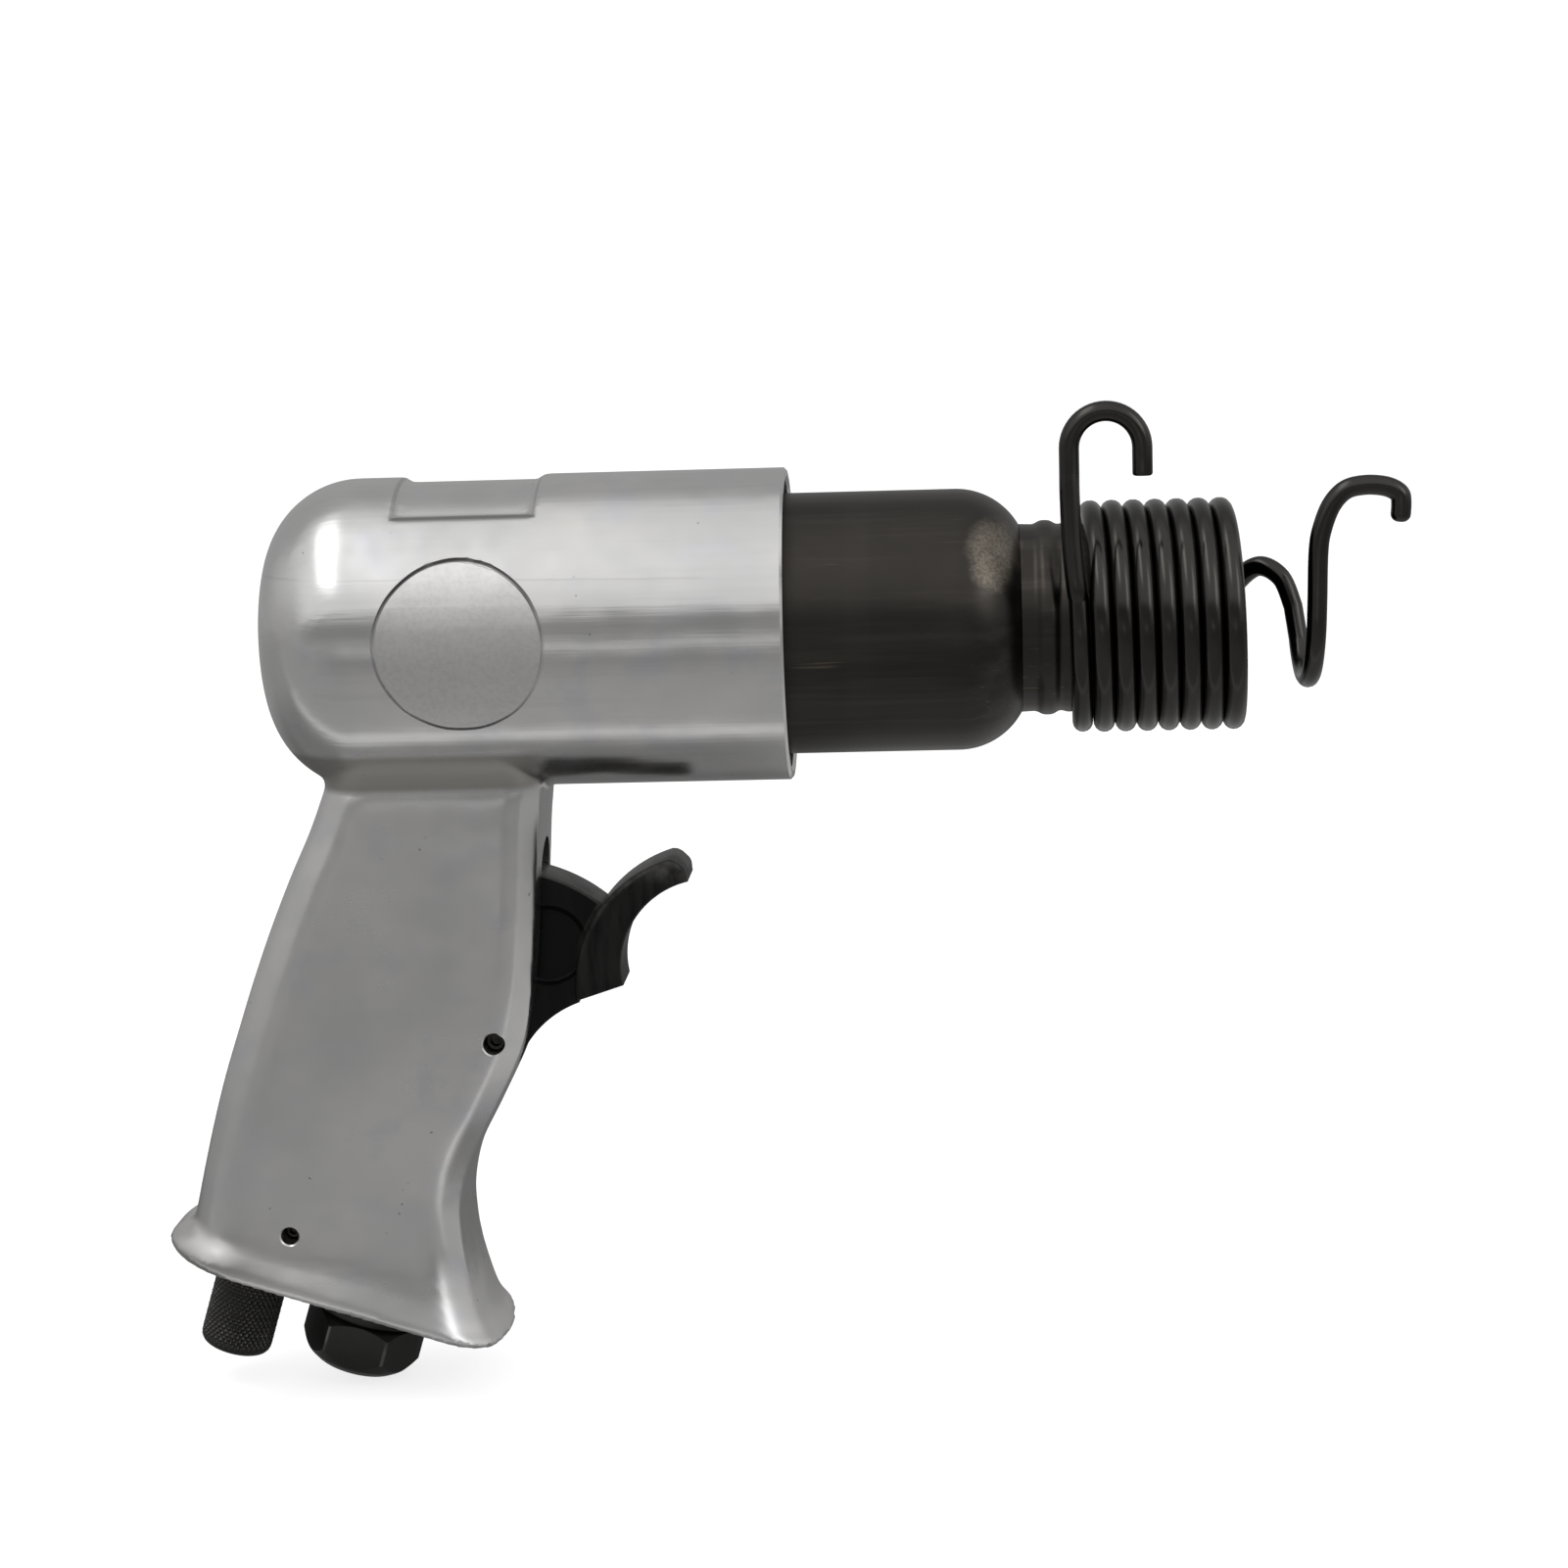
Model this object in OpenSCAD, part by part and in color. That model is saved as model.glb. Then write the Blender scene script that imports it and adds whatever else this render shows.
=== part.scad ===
// Pneumatic chisel: a pistol grip air hammer with a hooked retainer spring on its nose.
// X runs forward along the barrel, Z is up. The origin is the centre of the barrel's nose
// face, where the chisel's shank goes in. All lengths are in millimetres.

/* [Head of the housing] */
// Radius of the round head
head_r = 26; // [25.5:0.1:27]
// Length of the head from its open rim to the back of the dome
head_len = 88.4; // [87:0.2:95]
// Radius of the rounded corner between the head's side and its back
dome_corner_r = 16; // [12:0.5:18]
// Radius of the bulge of the head's back
dome_back_r = 60; // [50:1:90]
// Inner radius of the open skirt round the barrel
skirt_r = 24.2; // [23:0.1:24.6]
// Depth of the open skirt from its rim
skirt_depth = 26.8; // [22:0.2:28]
// Depth of the shallow panel sunk in the top of the head
panel_depth = 0.65; // [0.4:0.05:1]
// Length of the sunk panel along the head
panel_len = 22.6; // [16:0.2:26]
// Distance of the sunk panel from the rim
panel_from_rim = 40.8; // [36:0.2:44]
// Height of the sunk panel's lower edges over the barrel's axis
panel_low_z = 20; // [18:0.2:22]
// Radius of the flush round disc on the left side
disc_r = 13.6; // [10:0.1:15]
// Distance of the disc's centre from the rim
disc_from_rim = 52.2; // [48:0.2:56]
// Width of the groove round the disc
groove_w = 0.7; // [0.4:0.05:1.2]
// Depth of the groove round the disc
groove_depth = 0.6; // [0.3:0.05:1]

/* [Grip] */
// Half width of the grip's flat sides
grip_half_w = 15.2; // [14.6:0.1:16]
// How much further the foot flares out on each side
foot_flare = 3.9; // [3:0.1:5]
// Rounding of the edges of the front strap
strap_edge_r = 2.8; // [1.5:0.1:4]
// Rounding of the edges of the back strap
back_edge_r = 9; // [6:0.2:11]
// Rounding of the foot's corners
foot_corner_r = 14.5; // [10:0.5:16]
// Radius of the hollow fillet between head and grip
throat_r = 9.5; // [8:0.1:11]
// Half width of the throat under the head
throat_half_w = 14.8; // [14:0.1:15]
// How far the ends of the cross pins lie below the grip's sides
pin_recess = 3.2; // [1:0.1:5]

/* [Barrel and piston] */
// Length of barrel that stands out of the head
barrel_out = 61.2; // [58:0.2:66]
// Radius of the barrel
barrel_r = 21.7; // [20.8:0.1:22]
// Radius of the rounded shoulder behind the nose
shoulder_r = 12; // [10:0.2:13]
// Radius of the nose where the retainer spring is wound on
nose_r = 15.5; // [14.9:0.1:15.6]
// Length of the nose
nose_len = 22.9; // [21:0.1:25]
// Height of the thread's first crest over the nose
crest_h = 0.6; // [0.3:0.1:0.8]
// Radius of the bore that takes the chisel's shank
shank_r = 5.15; // [4.8:0.05:6.5]
// Length of the shank bore
shank_len = 22; // [18:0.5:26]
// Radius of the piston bore
bore_r = 9.5; // [8:0.1:10]
// Radius of the barrel's screwed tail
tail_r = 20; // [19:0.1:20.5]
// Length of the screwed tail
tail_len = 18.3; // [14:0.1:18.6]
// Length of the piston's full body
piston_len = 22; // [18:0.5:26]
// Length of the piston's thinner striking end
striker_len = 8; // [5:0.5:12]
// Radius of the piston's striking end
striker_r = 6.6; // [5:0.1:7.6]

/* [Valve] */
// Thickness of the valve block that the barrel presses on
front_block_t = 5; // [4:0.1:6]
// Thickness of the rear valve block
rear_block_t = 6; // [4:0.1:8]
// Thickness of the gasket behind the rear valve block
gasket_t = 1; // [0.5:0.1:1.5]
// Radius of the loose valve disc
disc_valve_r = 8.4; // [7:0.1:9]
// Thickness of the loose valve disc
disc_valve_t = 1.5; // [1:0.1:1.8]
// Travel of the valve disc
disc_valve_travel = 1.1; // [0.6:0.1:1.5]
// Radius of the two locating dowels
dowel_r = 1.5; // [1:0.1:1.8]
// Distance of the dowels from the barrel's axis
dowel_at_r = 15; // [13:0.1:16.5]

/* [Retainer spring] */
// Radius of the spring's wire
wire_r = 1.55; // [1.3:0.05:1.55]
// Clearance of the coils over the nose
coil_gap = 0.4; // [0.3:0.05:0.8]
// Advance of one turn
coil_pitch = 3.56; // [3.55:0.01:4]
// Number of full turns before the front hook leaves the coil
coil_turns = 7; // [6:1:8]
// How far behind the nose face the first coil starts
coil_back = 13.7; // [13:0.1:14]
// Radius of the arch of the rear hook
rear_arch_r = 5.85; // [5:0.05:7]
// Height of the arch's centre over the barrel's axis
rear_arch_z = 28.75; // [27:0.25:32]
// Radius of the loop that goes round the chisel's shank
loop_r = 11; // [10:0.1:12]

/* [Trigger] */
// Thickness of the trigger's web
web_t = 10.6; // [8:0.1:11]
// Width of the finger hook
hook_w = 13; // [12:0.1:16]
// Rounding of the hook's edges on the finger's side
finger_edge_r = 2.5; // [1:0.1:3]
// Radius of the web's arc about the pin
web_r = 28.1; // [26:0.1:29]
// Radius of the boss round the trigger pin
boss_r = 4; // [3.4:0.1:4.2]
// Radius of the trigger pin
trigger_pin_r = 1.75; // [1.25:0.05:2]
// Angle that the trigger turns through when it is pulled
trigger_pull = 14; // [8:1:15]
// Distance of the slot's sides from the trigger's web
slot_gap = 0.4; // [0.2:0.05:0.8]
// Radius of the round pocket in the web's sides
pocket_r = 6.2; // [4:0.1:7]
// Depth of the pocket
pocket_depth = 0.8; // [0.4:0.1:2]

/* [Throttle] */
// Height of the throttle's axis over the trigger pin, along the front strap
throttle_h = 14.9; // [13:0.1:17]
// Radius of the throttle stem
stem_r = 2.5; // [2:0.1:3]
// Radius of the throttle bush
bush_r = 6; // [5.5:0.1:6.5]
// Length of the throttle bush
bush_len = 12; // [11.5:0.1:13]
// Radius of the valve head at the stem's inner end
valve_head_r = 4.6; // [4.2:0.1:5]
// Thickness of the valve head
valve_head_t = 2.5; // [2:0.1:3]
// Radius of the throttle spring's wire
throttle_wire_r = 0.4; // [0.3:0.05:0.45]
// Radius of the throttle spring's coils, to the middle of the wire
throttle_coil_r = 3.6; // [3:0.1:4.2]
// Length of the throttle spring at rest
throttle_spring_len = 9.2; // [9:0.1:10]
// Number of the throttle spring's turns
throttle_turns = 5; // [4:1:5]

/* [Foot fittings] */
// Distance of the regulator's axis from the rear of the foot
regulator_at = 13.7; // [13:0.1:15]
// Radius of the regulator's knob
knob_r = 6.2; // [5.5:0.05:6.8]
// Length of the knob
knob_len = 14.2; // [12:0.2:18]
// Gap between the foot and the knob
knob_gap = 2.6; // [1:0.1:4]
// Radius of the regulator's spool inside the grip
spool_r = 6.9; // [6.2:0.05:7]
// Length of the spool
spool_len = 24; // [22:0.2:26]
// Depth of the regulator's retaining pin over the foot
retainer_depth = 10; // [9:0.1:12]
// Radius of the regulator's retaining pin
retainer_r = 1.45; // [1.2:0.05:1.6]
// Distance of the inlet's axis from the rear of the foot
inlet_at = 34.8; // [34.5:0.1:38]
// Size of the inlet bushing's hexagon across its flats
hex_flats = 18; // [17:0.5:19]
// Height of the hexagon
hex_len = 7.1; // [6:0.1:10]
// Radius of the bushing's round collar
collar_r = 9.5; // [9:0.1:9.8]
// Height of the collar
collar_len = 5.4; // [4:0.1:7]
// Radius of the bushing's screwed shank
inlet_shank_r = 8.2; // [7.6:0.1:8.4]
// Length of the bushing's screwed shank
inlet_shank_len = 12; // [11:0.2:14]
// Radius of the air line's thread
inlet_r = 5.7; // [5:0.1:6]
// Length of the air line's thread
inlet_len = 12; // [10:0.5:13]
// Thickness of the seal under the collar
inlet_seal_t = 1; // [0.5:0.1:1.5]

/* [Hidden] */

// Clearance of a turning or sliding fit, on the radius
fit = 0.05;
// Clearance between pieces that only pass each other
play = 0.3;
// How far a cut runs past the face it opens
over = 1;

// Stations along the head, behind the nose face
rim_x = -barrel_out;
back_x = rim_x - head_len;
skirt_floor_x = rim_x - skirt_depth;
shoulder_x = skirt_floor_x + play;
tail_x = shoulder_x - tail_len;
front_block_x = tail_x - front_block_t;
rear_block_x = front_block_x - rear_block_t;
chest_x = rear_block_x - gasket_t;
chest_r = 9;

// Side outline of the grip, from the throat to the foot, chosen by hand. Each station has
// the back strap's x behind the rim and z, the front strap's x behind the rim and z, and its
// share of the foot's flare.
grip_stations = [
    [-78.3, -24.7, -41.8, -24.7, -0.12],
    [-78.8, -25.9, -41.9, -25.9, 0],
    [-81.2, -32.2, -42.4, -33.0, 0],
    [-84.9, -40.0, -43.1, -42.0, 0],
    [-88.7, -48.8, -44.0, -52.0, 0],
    [-92.1, -57.6, -44.9, -62.0, 0],
    [-95.0, -65.8, -47.0, -71.0, 0],
    [-97.8, -74.0, -51.5, -80.3, 0],
    [-100.0, -81.5, -56.0, -89.0, 0],
    [-101.7, -88.0, -57.9, -96.6, 0],
    [-102.9, -92.8, -57.8, -102.9, 0.03],
    [-103.8, -96.3, -57.0, -107.9, 0.15],
    [-104.8, -98.9, -55.6, -112.6, 0.42],
    [-107.5, -100.3, -53.7, -117.3, 0.78],
    [-109.2, -101.9, -51.4, -120.3, 1],
    [-108.4, -103.5, -52.0, -121.1, 0.88]
];
station_steps = 3;
corner_steps = 6;

// Frame of the foot: its rear point and its tilt
foot_station = grip_stations[len(grip_stations) - 1];
foot_back = [rim_x + foot_station[0], foot_station[1]];
foot_tilt = atan2(foot_station[1] - foot_station[3], foot_station[2] - foot_station[0]);

// Frame of the trigger: its pin, and the lean of the front strap
pin_behind_rim = 50.7;
pin_x = rim_x - pin_behind_rim;
pin_z = -67.7;
strap_lean = 6.2;
strap_at = 5;

// Trigger outline in its own frame, forward and up from the pin
web_back_angle = 5;
hook_out_r = 22.6;
hook_out_at = [34.6, 11.3];
finger_r = 14.2;
finger_at = [34.5, 14.5];
under_r = 17.6;
under_at = [20.3, -9.7];
hook_foot = [[12, 6.7], [14.4, 7.1], [19.6, 9.4], [20.6, 11.5]];
hook_tip = [[29.3, 20], [29.3, 29], [28.6, 30.8], [26, 32.6], [5, 40]];
web_foot = [[0, -boss_r], [5, -3], [13, 6.5], [0, 6], [-boss_r, 0]];
pocket_at = [6.5, 15.6];

// Slot in the grip that the trigger swings in
slot_over_web = 5.2;
slot_behind_web = 3;
slot_mouth = 8;
slot_half = web_t / 2 + slot_gap;
slot_top = web_r + slot_over_web;
slot_low = -boss_r - 1;
slot_back_top = -web_r * sin(web_back_angle + trigger_pull) - slot_behind_web;
slot_floor = slot_low + (slot_back_top - slot_low) * (throttle_h + bush_r) / slot_top;

// Throttle stations along its axis, negative going into the grip
crown_r = 4;
function crown_at(a) = crown_r - (crown_r + throttle_h * sin(a)) / cos(a);
stem_nose = crown_at(web_back_angle) - 2 * fit;
stem_travel = crown_at(web_back_angle) - crown_at(web_back_angle + trigger_pull);
bush_end = slot_floor - bush_len;
seal_wire_r = 0.9;
head_at = bush_end - 2 * seal_wire_r - 2 * fit;
spring_at = head_at - valve_head_t - fit;
chamber_end = spring_at - throttle_spring_len - fit;
port_r = 1.5;
port_at = bush_end + port_r + 2.5;
port_w = 4;
stem_gap = 1.2;
bush_groove_from = 4;
bush_groove_at = slot_floor - bush_groove_from;
bush_groove_depth = 1.5;
bush_seal_r = 0.7;

// Places in the foot's and the trigger's frames as x and z of the whole
function foot_point(u, w) = [foot_back[0] + u * cos(foot_tilt) + w * sin(foot_tilt),
                             foot_back[1] - u * sin(foot_tilt) + w * cos(foot_tilt)];
function pin_point(u, w) = [pin_x + u * cos(strap_lean) + w * sin(strap_lean),
                            pin_z - u * sin(strap_lean) + w * cos(strap_lean)];

// Air passages: from the throttle's port up into the chest, and from the regulator's spool up
// to the throttle's chamber
delivery_r = 3.2;
delivery_at = pin_point(port_at, throttle_h);
chest_end = delivery_at[0] - delivery_r - over;
duct_r = 2.5;
cross_duct_w = inlet_shank_len + duct_r + 2.5;
air_hole_r = 1.6;
air_hole_at = 14.6;
exhaust_r = 2;
exhaust_x = skirt_floor_x + 8;

// Valve blocks
valve_port_r = 1.4;
valve_ring_r = 5.5;
valve_seat_r = 4;
dowel_deep = 2.7;

// Shoulder and thread of the nose
shoulder_back = -nose_len - sqrt(pow(shoulder_r, 2) - pow(shoulder_r - barrel_r + nose_r, 2));
crest_at = -nose_len + 3;
crest_w = 3.4;

// Regulator and inlet
pin_offset = spool_r - 0.7;
pin_len = 2 * (grip_half_w - pin_recess);
spool_groove = [3.5, 2, 1.5];
spool_seal_r = 0.7;
knob_round = 1.9;
strainer_r = 6;
strainer_deep = 5;
strainer_len = 4.6;
strainer_wall = 0.6;

// Route of the retainer spring, chosen by hand but for its arch, coils and loop: rear hook,
// coils, front hook
coil_r = nose_r + coil_gap + wire_r;
arch_steps = 10;
turn_steps = 24;
hook_steps = 3;
leg_x = -coil_back - 1.3;
leg_y = 0.9 - coil_r;
arch_x = leg_x + rear_arch_r;
coil_end = -coil_back + (coil_turns + 0.5) * coil_pitch;
loop_x = coil_end + 11.7;
loop_lean = 0.9;
rear_end = [
    [arch_x + rear_arch_r, leg_y, rear_arch_z - 4.7],
    [arch_x + rear_arch_r, leg_y, rear_arch_z - 1.4]
];
rear_arch = [for (k = [0 : arch_steps])
    [arch_x + rear_arch_r * cos(180 * k / arch_steps), leg_y,
     rear_arch_z + rear_arch_r * sin(180 * k / arch_steps)]];

// Smooth curve through a list of points, by cubic pieces
function curve_piece(a, b, c, d, t) =
    0.5 * (2 * b + (c - a) * t + (2 * a - 5 * b + 4 * c - d) * t * t
        + (3 * b - a - 3 * c + d) * t * t * t);

function smooth(p, steps) = [
    for (i = [0 : len(p) - 2], k = [0 : steps - 1])
        curve_piece(p[max(i - 1, 0)], p[i], p[i + 1], p[min(i + 2, len(p) - 1)], k / steps),
    p[len(p) - 1]
];

rear_leg = smooth([
    [leg_x, leg_y - 0.1, rear_arch_z - 4],
    [leg_x, leg_y - 0.4, 21],
    [leg_x + 0.25, leg_y - 0.75, 13],
    [-coil_back - 0.5, -coil_r, 6.5],
    [-coil_back - coil_pitch / turn_steps, -coil_r * cos(15), coil_r * sin(15)]
], hook_steps);
coils = [for (k = [0 : (coil_turns + 0.5) * turn_steps - 1])
    let (a = 360 * k / turn_steps)
    [-coil_back + coil_pitch * k / turn_steps, -coil_r * cos(a), -coil_r * sin(a)]];
front_hook = smooth([
    [coil_end, coil_r, 0],
    [coil_end + 1.2, coil_r - 1.4, 3.6],
    [coil_end + 4.8, coil_r - 3.9, 6.5],
    [coil_end + 8.4, coil_r - 5.5, 4.6],
    [coil_end + 10.3, loop_r, -0.2]
], hook_steps);
shank_loop = [for (a = [30 : 15 : 180])
    [loop_x + 0.2 - loop_lean * (180 - a) / 150, loop_r * cos(a), -loop_r * sin(a)]];
thumb_hook = smooth([
    [loop_x + 0.3, -loop_r, 3.5],
    [loop_x + 0.5, -loop_r, 10.8],
    [loop_x + 1.1, -loop_r, 14.4],
    [loop_x + 2.6, -loop_r, 18.2],
    [loop_x + 4.9, -loop_r, 20.6],
    [loop_x + 8, -loop_r, 21.3],
    [loop_x + 11.3, -loop_r, 21],
    [loop_x + 13.5, -loop_r, 19.9],
    [loop_x + 13.9, -loop_r, 18.4]
], hook_steps);
front_end = [[loop_x + 13.7, -loop_r, 15.2]];
spring_route = concat(rear_end, rear_arch, rear_leg, coils, front_hook, shank_loop,
                      thumb_hook, front_end);

module spin() { rotate([0, 90, 0]) rotate_extrude($fn = 96) children(); }

module along_x(r, from_x, to_x, fn = 64) {
    translate([min(from_x, to_x), 0, 0]) rotate([0, 90, 0])
        cylinder(r = r, h = abs(to_x - from_x), $fn = fn);
}

module at_foot(u) {
    translate([foot_back[0], 0, foot_back[1]]) rotate([0, foot_tilt, 0])
        translate([u, 0, 0]) children();
}

module at_pin() { translate([pin_x, 0, pin_z]) rotate([0, strap_lean, 0]) children(); }

module at_throttle() { at_pin() translate([0, 0, throttle_h]) children(); }

module across(r, w) { rotate([90, 0, 0]) cylinder(r = r, h = w, center = true, $fn = 48); }

module plate(w) { rotate([90, 0, 0]) linear_extrude(w, center = true) children(); }

// Straight duct between two places in the middle plane
module duct(from, to) {
    run = to - from;
    translate([from[0], 0, from[1]]) rotate([0, atan2(run[0], run[1]), 0])
        cylinder(r = duct_r, h = norm(run), $fn = 48);
}

// Skin over rings of equal count, each a list of points
function skin_faces(rings, n) = [
    for (k = [0 : rings - 2], i = [0 : n - 1]) each [
        [k * n + i, k * n + (i + 1) % n, (k + 1) * n + (i + 1) % n],
        [k * n + i, (k + 1) * n + (i + 1) % n, (k + 1) * n + i]
    ],
    for (i = [1 : n - 2]) [0, i + 1, i],
    for (i = [1 : n - 2]) [(rings - 1) * n, (rings - 1) * n + i, (rings - 1) * n + i + 1]
];

module skin(rings) {
    n = len(rings[0]);
    polyhedron([for (ring = rings) each ring], skin_faces(len(rings), n), convexity = 8);
}

// Round wire swept along a route, with its rings turned as little as possible
function unit(v) = v / norm(v);
function heading(p, i) = unit(p[min(i + 1, len(p) - 1)] - p[max(i - 1, 0)]);
function square_to(v, t) = unit(v - (v * t) * t);

function wire_rings(p, r, n, start) = [
    for (i = 0, t = heading(p, 0), a = square_to(start, t); i < len(p);
         i = i + 1, t = heading(p, min(i, len(p) - 1)), a = square_to(a, t))
        [for (k = [0 : n - 1])
            p[i] + r * (cos(360 * k / n) * a + sin(360 * k / n) * cross(a, t))]
];

// Least distance between parts of a route that are at least some points apart
function least_gap(p, r, apart) = min([
    for (i = [0 : len(p) - 1 - apart])
        min([for (j = [i + apart : len(p) - 1]) norm(p[i] - p[j])])
]) - 2 * r;

// Outline of one grip section: rounded at the back and the front strap
function corner(cx, cy, r, from) = [
    for (k = [0 : corner_steps])
        [cx + r * cos(from + 90 * k / corner_steps), cy + r * sin(from + 90 * k / corner_steps)]
];

function grip_outline(long, half, front_r, rear_r) = concat(
    corner(long - front_r, half - front_r, front_r, 0),
    corner(rear_r, half - rear_r, rear_r, 90),
    corner(rear_r, rear_r - half, rear_r, 180),
    corner(long - front_r, front_r - half, front_r, 270)
);

function grip_ring(s) =
    let (
        run = [s[2] - s[0], s[3] - s[1]],
        long = norm(run),
        share = min(max(s[4], 0), 1),
        half = grip_half_w + foot_flare * s[4],
        front_r = strap_edge_r + (foot_corner_r - strap_edge_r) * share,
        rear_r = back_edge_r + (foot_corner_r - back_edge_r) * share
    )
    [for (q = grip_outline(long, half, front_r, rear_r))
        [rim_x + s[0] + run[0] * q[0] / long, q[1], s[1] + run[1] * q[0] / long]];

module grip_body() {
    skin([for (s = smooth(grip_stations, station_steps)) grip_ring(s)]);
}

// Head: a turned body with a rounded back
module head_profile() {
    across_r = head_r - dome_corner_r;
    reach = sqrt(pow(dome_back_r - dome_corner_r, 2) - pow(across_r, 2));
    corner_x = back_x + dome_back_r - reach;
    meet_r = dome_back_r * across_r / (dome_back_r - dome_corner_r);
    intersection() {
        union() {
            translate([0, corner_x]) square([head_r, rim_x - corner_x]);
            translate([0, back_x - over]) square([meet_r, corner_x - back_x + 2 * over]);
            translate([across_r, corner_x - fit]) circle(dome_corner_r, $fn = 96);
        }
        translate([0, back_x + dome_back_r]) circle(dome_back_r, $fn = 180);
        translate([0, back_x - over]) square([head_r, head_len + over]);
    }
}

// Throat: the block under the head, with hollow fillets along its sides
module throat() {
    low = grip_stations[1][1];
    back = rim_x + grip_stations[0][0];
    front = rim_x + grip_stations[0][2];
    hollow_y = throat_half_w + throat_r;
    hollow_z = -sqrt(pow(head_r + throat_r - fit, 2) - pow(hollow_y, 2));
    meet = head_r / (head_r + throat_r) * hollow_y;
    core_z = -head_r / 3;
    intersection() {
        translate([back, 0, 0]) rotate([90, 0, 90]) linear_extrude(front - back)
            difference() {
                translate([-meet, low - 2]) square([2 * meet, core_z - low + 2]);
                for (side = [-1, 1])
                    translate([side * hollow_y, hollow_z]) circle(throat_r, $fn = 96);
            }
        translate([0, 0, low]) linear_extrude(-low) union() {
            translate([back + back_edge_r, -meet]) square([front - back - back_edge_r, 2 * meet]);
            translate([back, back_edge_r - meet])
                square([2 * back_edge_r, 2 * (meet - back_edge_r)]);
            for (side = [-1, 1])
                translate([back + back_edge_r, side * (meet - back_edge_r)])
                    circle(back_edge_r, $fn = 64);
        }
    }
}

// Shallow panel in the top of the head, a little longer at its lower edges
module top_panel() {
    front = rim_x - panel_from_rim;
    back = front - panel_len;
    side = sqrt(pow(head_r, 2) - pow(panel_low_z, 2)) + over;
    intersection() {
        difference() {
            along_x(head_r + over, back - 2 * over, front + over);
            along_x(head_r - panel_depth, back - 3 * over, front + 2 * over);
        }
        translate([0, 0, panel_low_z]) linear_extrude(head_r)
            polygon([
                [front, 0], [front - 0.5, side], [back - 1.5, side],
                [back, 0], [back - 1.5, -side], [front - 0.5, -side]
            ]);
    }
}

// Groove round the flush disc, cut to one depth from the head's surface
module disc_groove() {
    intersection() {
        translate([rim_x - disc_from_rim, -head_r / 2 - over, 0]) difference() {
            across(disc_r + groove_w / 2, head_r + 2 * over);
            across(disc_r - groove_w / 2, head_r + 4 * over);
        }
        difference() {
            along_x(head_r + over, back_x, rim_x);
            along_x(head_r - groove_depth, back_x - over, rim_x + over);
        }
    }
}

module trigger_slot() {
    front = strap_at + slot_mouth;
    at_pin() intersection() {
        plate(2 * slot_half) polygon([
            [front, slot_low], [front, slot_top], [slot_back_top, slot_top],
            [slot_low, 0], [slot_low, slot_low]
        ]);
        union() {
            translate([slot_back_top - over, -slot_half, slot_low - over])
                cube([front - slot_back_top + over, 2 * slot_half,
                      slot_top - slot_half - slot_low + over]);
            translate([0, 0, slot_top - slot_half])
                along_x(slot_half, slot_back_top - over, front);
        }
    }
}

// Skirt, screwed seat of the barrel, valve chest and its air chamber
module head_cuts() {
    along_x(skirt_r, skirt_floor_x, rim_x + over);
    along_x(tail_r + fit, chest_x, skirt_floor_x + over);
    along_x(chest_r, chest_end, chest_x + over);
}

// Throttle bore with its delivery groove, and the ways to the head and to the regulator
module throttle_cuts() {
    at_throttle() {
        along_x(bush_r + fit, chamber_end, 0);
        along_x(bush_r + stem_gap, port_at - port_w / 2, port_at + port_w / 2);
    }
    translate([delivery_at[0], 0, delivery_at[1]])
        cylinder(r = delivery_r, h = -delivery_at[1], $fn = 48);
    duct(foot_point(regulator_at, spool_len),
         pin_point((spring_at + chamber_end) / 2, throttle_h));
}

// Inlet and regulator bores in the foot, the duct that joins them, and the pin holes
module foot_cuts() {
    at_foot(inlet_at) {
        translate([0, 0, -over]) cylinder(r = inlet_shank_r + fit,
                                          h = inlet_shank_len + play + over, $fn = 64);
        cylinder(r = inlet_r, h = cross_duct_w + duct_r + over, $fn = 48);
        translate([0, 0, cross_duct_w]) along_x(duct_r, regulator_at - inlet_at, 0);
    }
    at_foot(regulator_at) {
        translate([0, 0, -over])
            cylinder(r = spool_r + fit, h = spool_len + 3 * over, $fn = 64);
        translate([pin_offset, 0, retainer_depth]) across(retainer_r + fit, 3 * grip_half_w);
    }
    at_pin() across(trigger_pin_r + fit, 3 * grip_half_w);
}

module housing() {
    color("silver") difference() {
        union() {
            spin() head_profile();
            throat();
            grip_body();
        }
        top_panel();
        disc_groove();
        trigger_slot();
        head_cuts();
        throttle_cuts();
        foot_cuts();
    }
}

// Turned outline of the barrel: tail, body, rounded shoulder, nose and its first crest
module barrel_profile() {
    translate([0, tail_x]) square([tail_r, shoulder_x - tail_x]);
    translate([0, shoulder_x]) square([barrel_r, shoulder_back - shoulder_x]);
    intersection() {
        translate([barrel_r - shoulder_r, shoulder_back]) circle(shoulder_r, $fn = 96);
        translate([0, shoulder_back - over]) square([barrel_r, shoulder_r + over]);
    }
    translate([0, shoulder_back - over]) square([nose_r, over - shoulder_back]);
    translate([0, shoulder_back - over]) square([barrel_r - shoulder_r + over, shoulder_r]);
    translate([0, crest_at]) polygon([
        [0, 0], [nose_r, 0], [nose_r + crest_h, crest_w / 4],
        [nose_r + crest_h, crest_w * 3 / 4], [nose_r, crest_w], [0, crest_w]
    ]);
}

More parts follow.
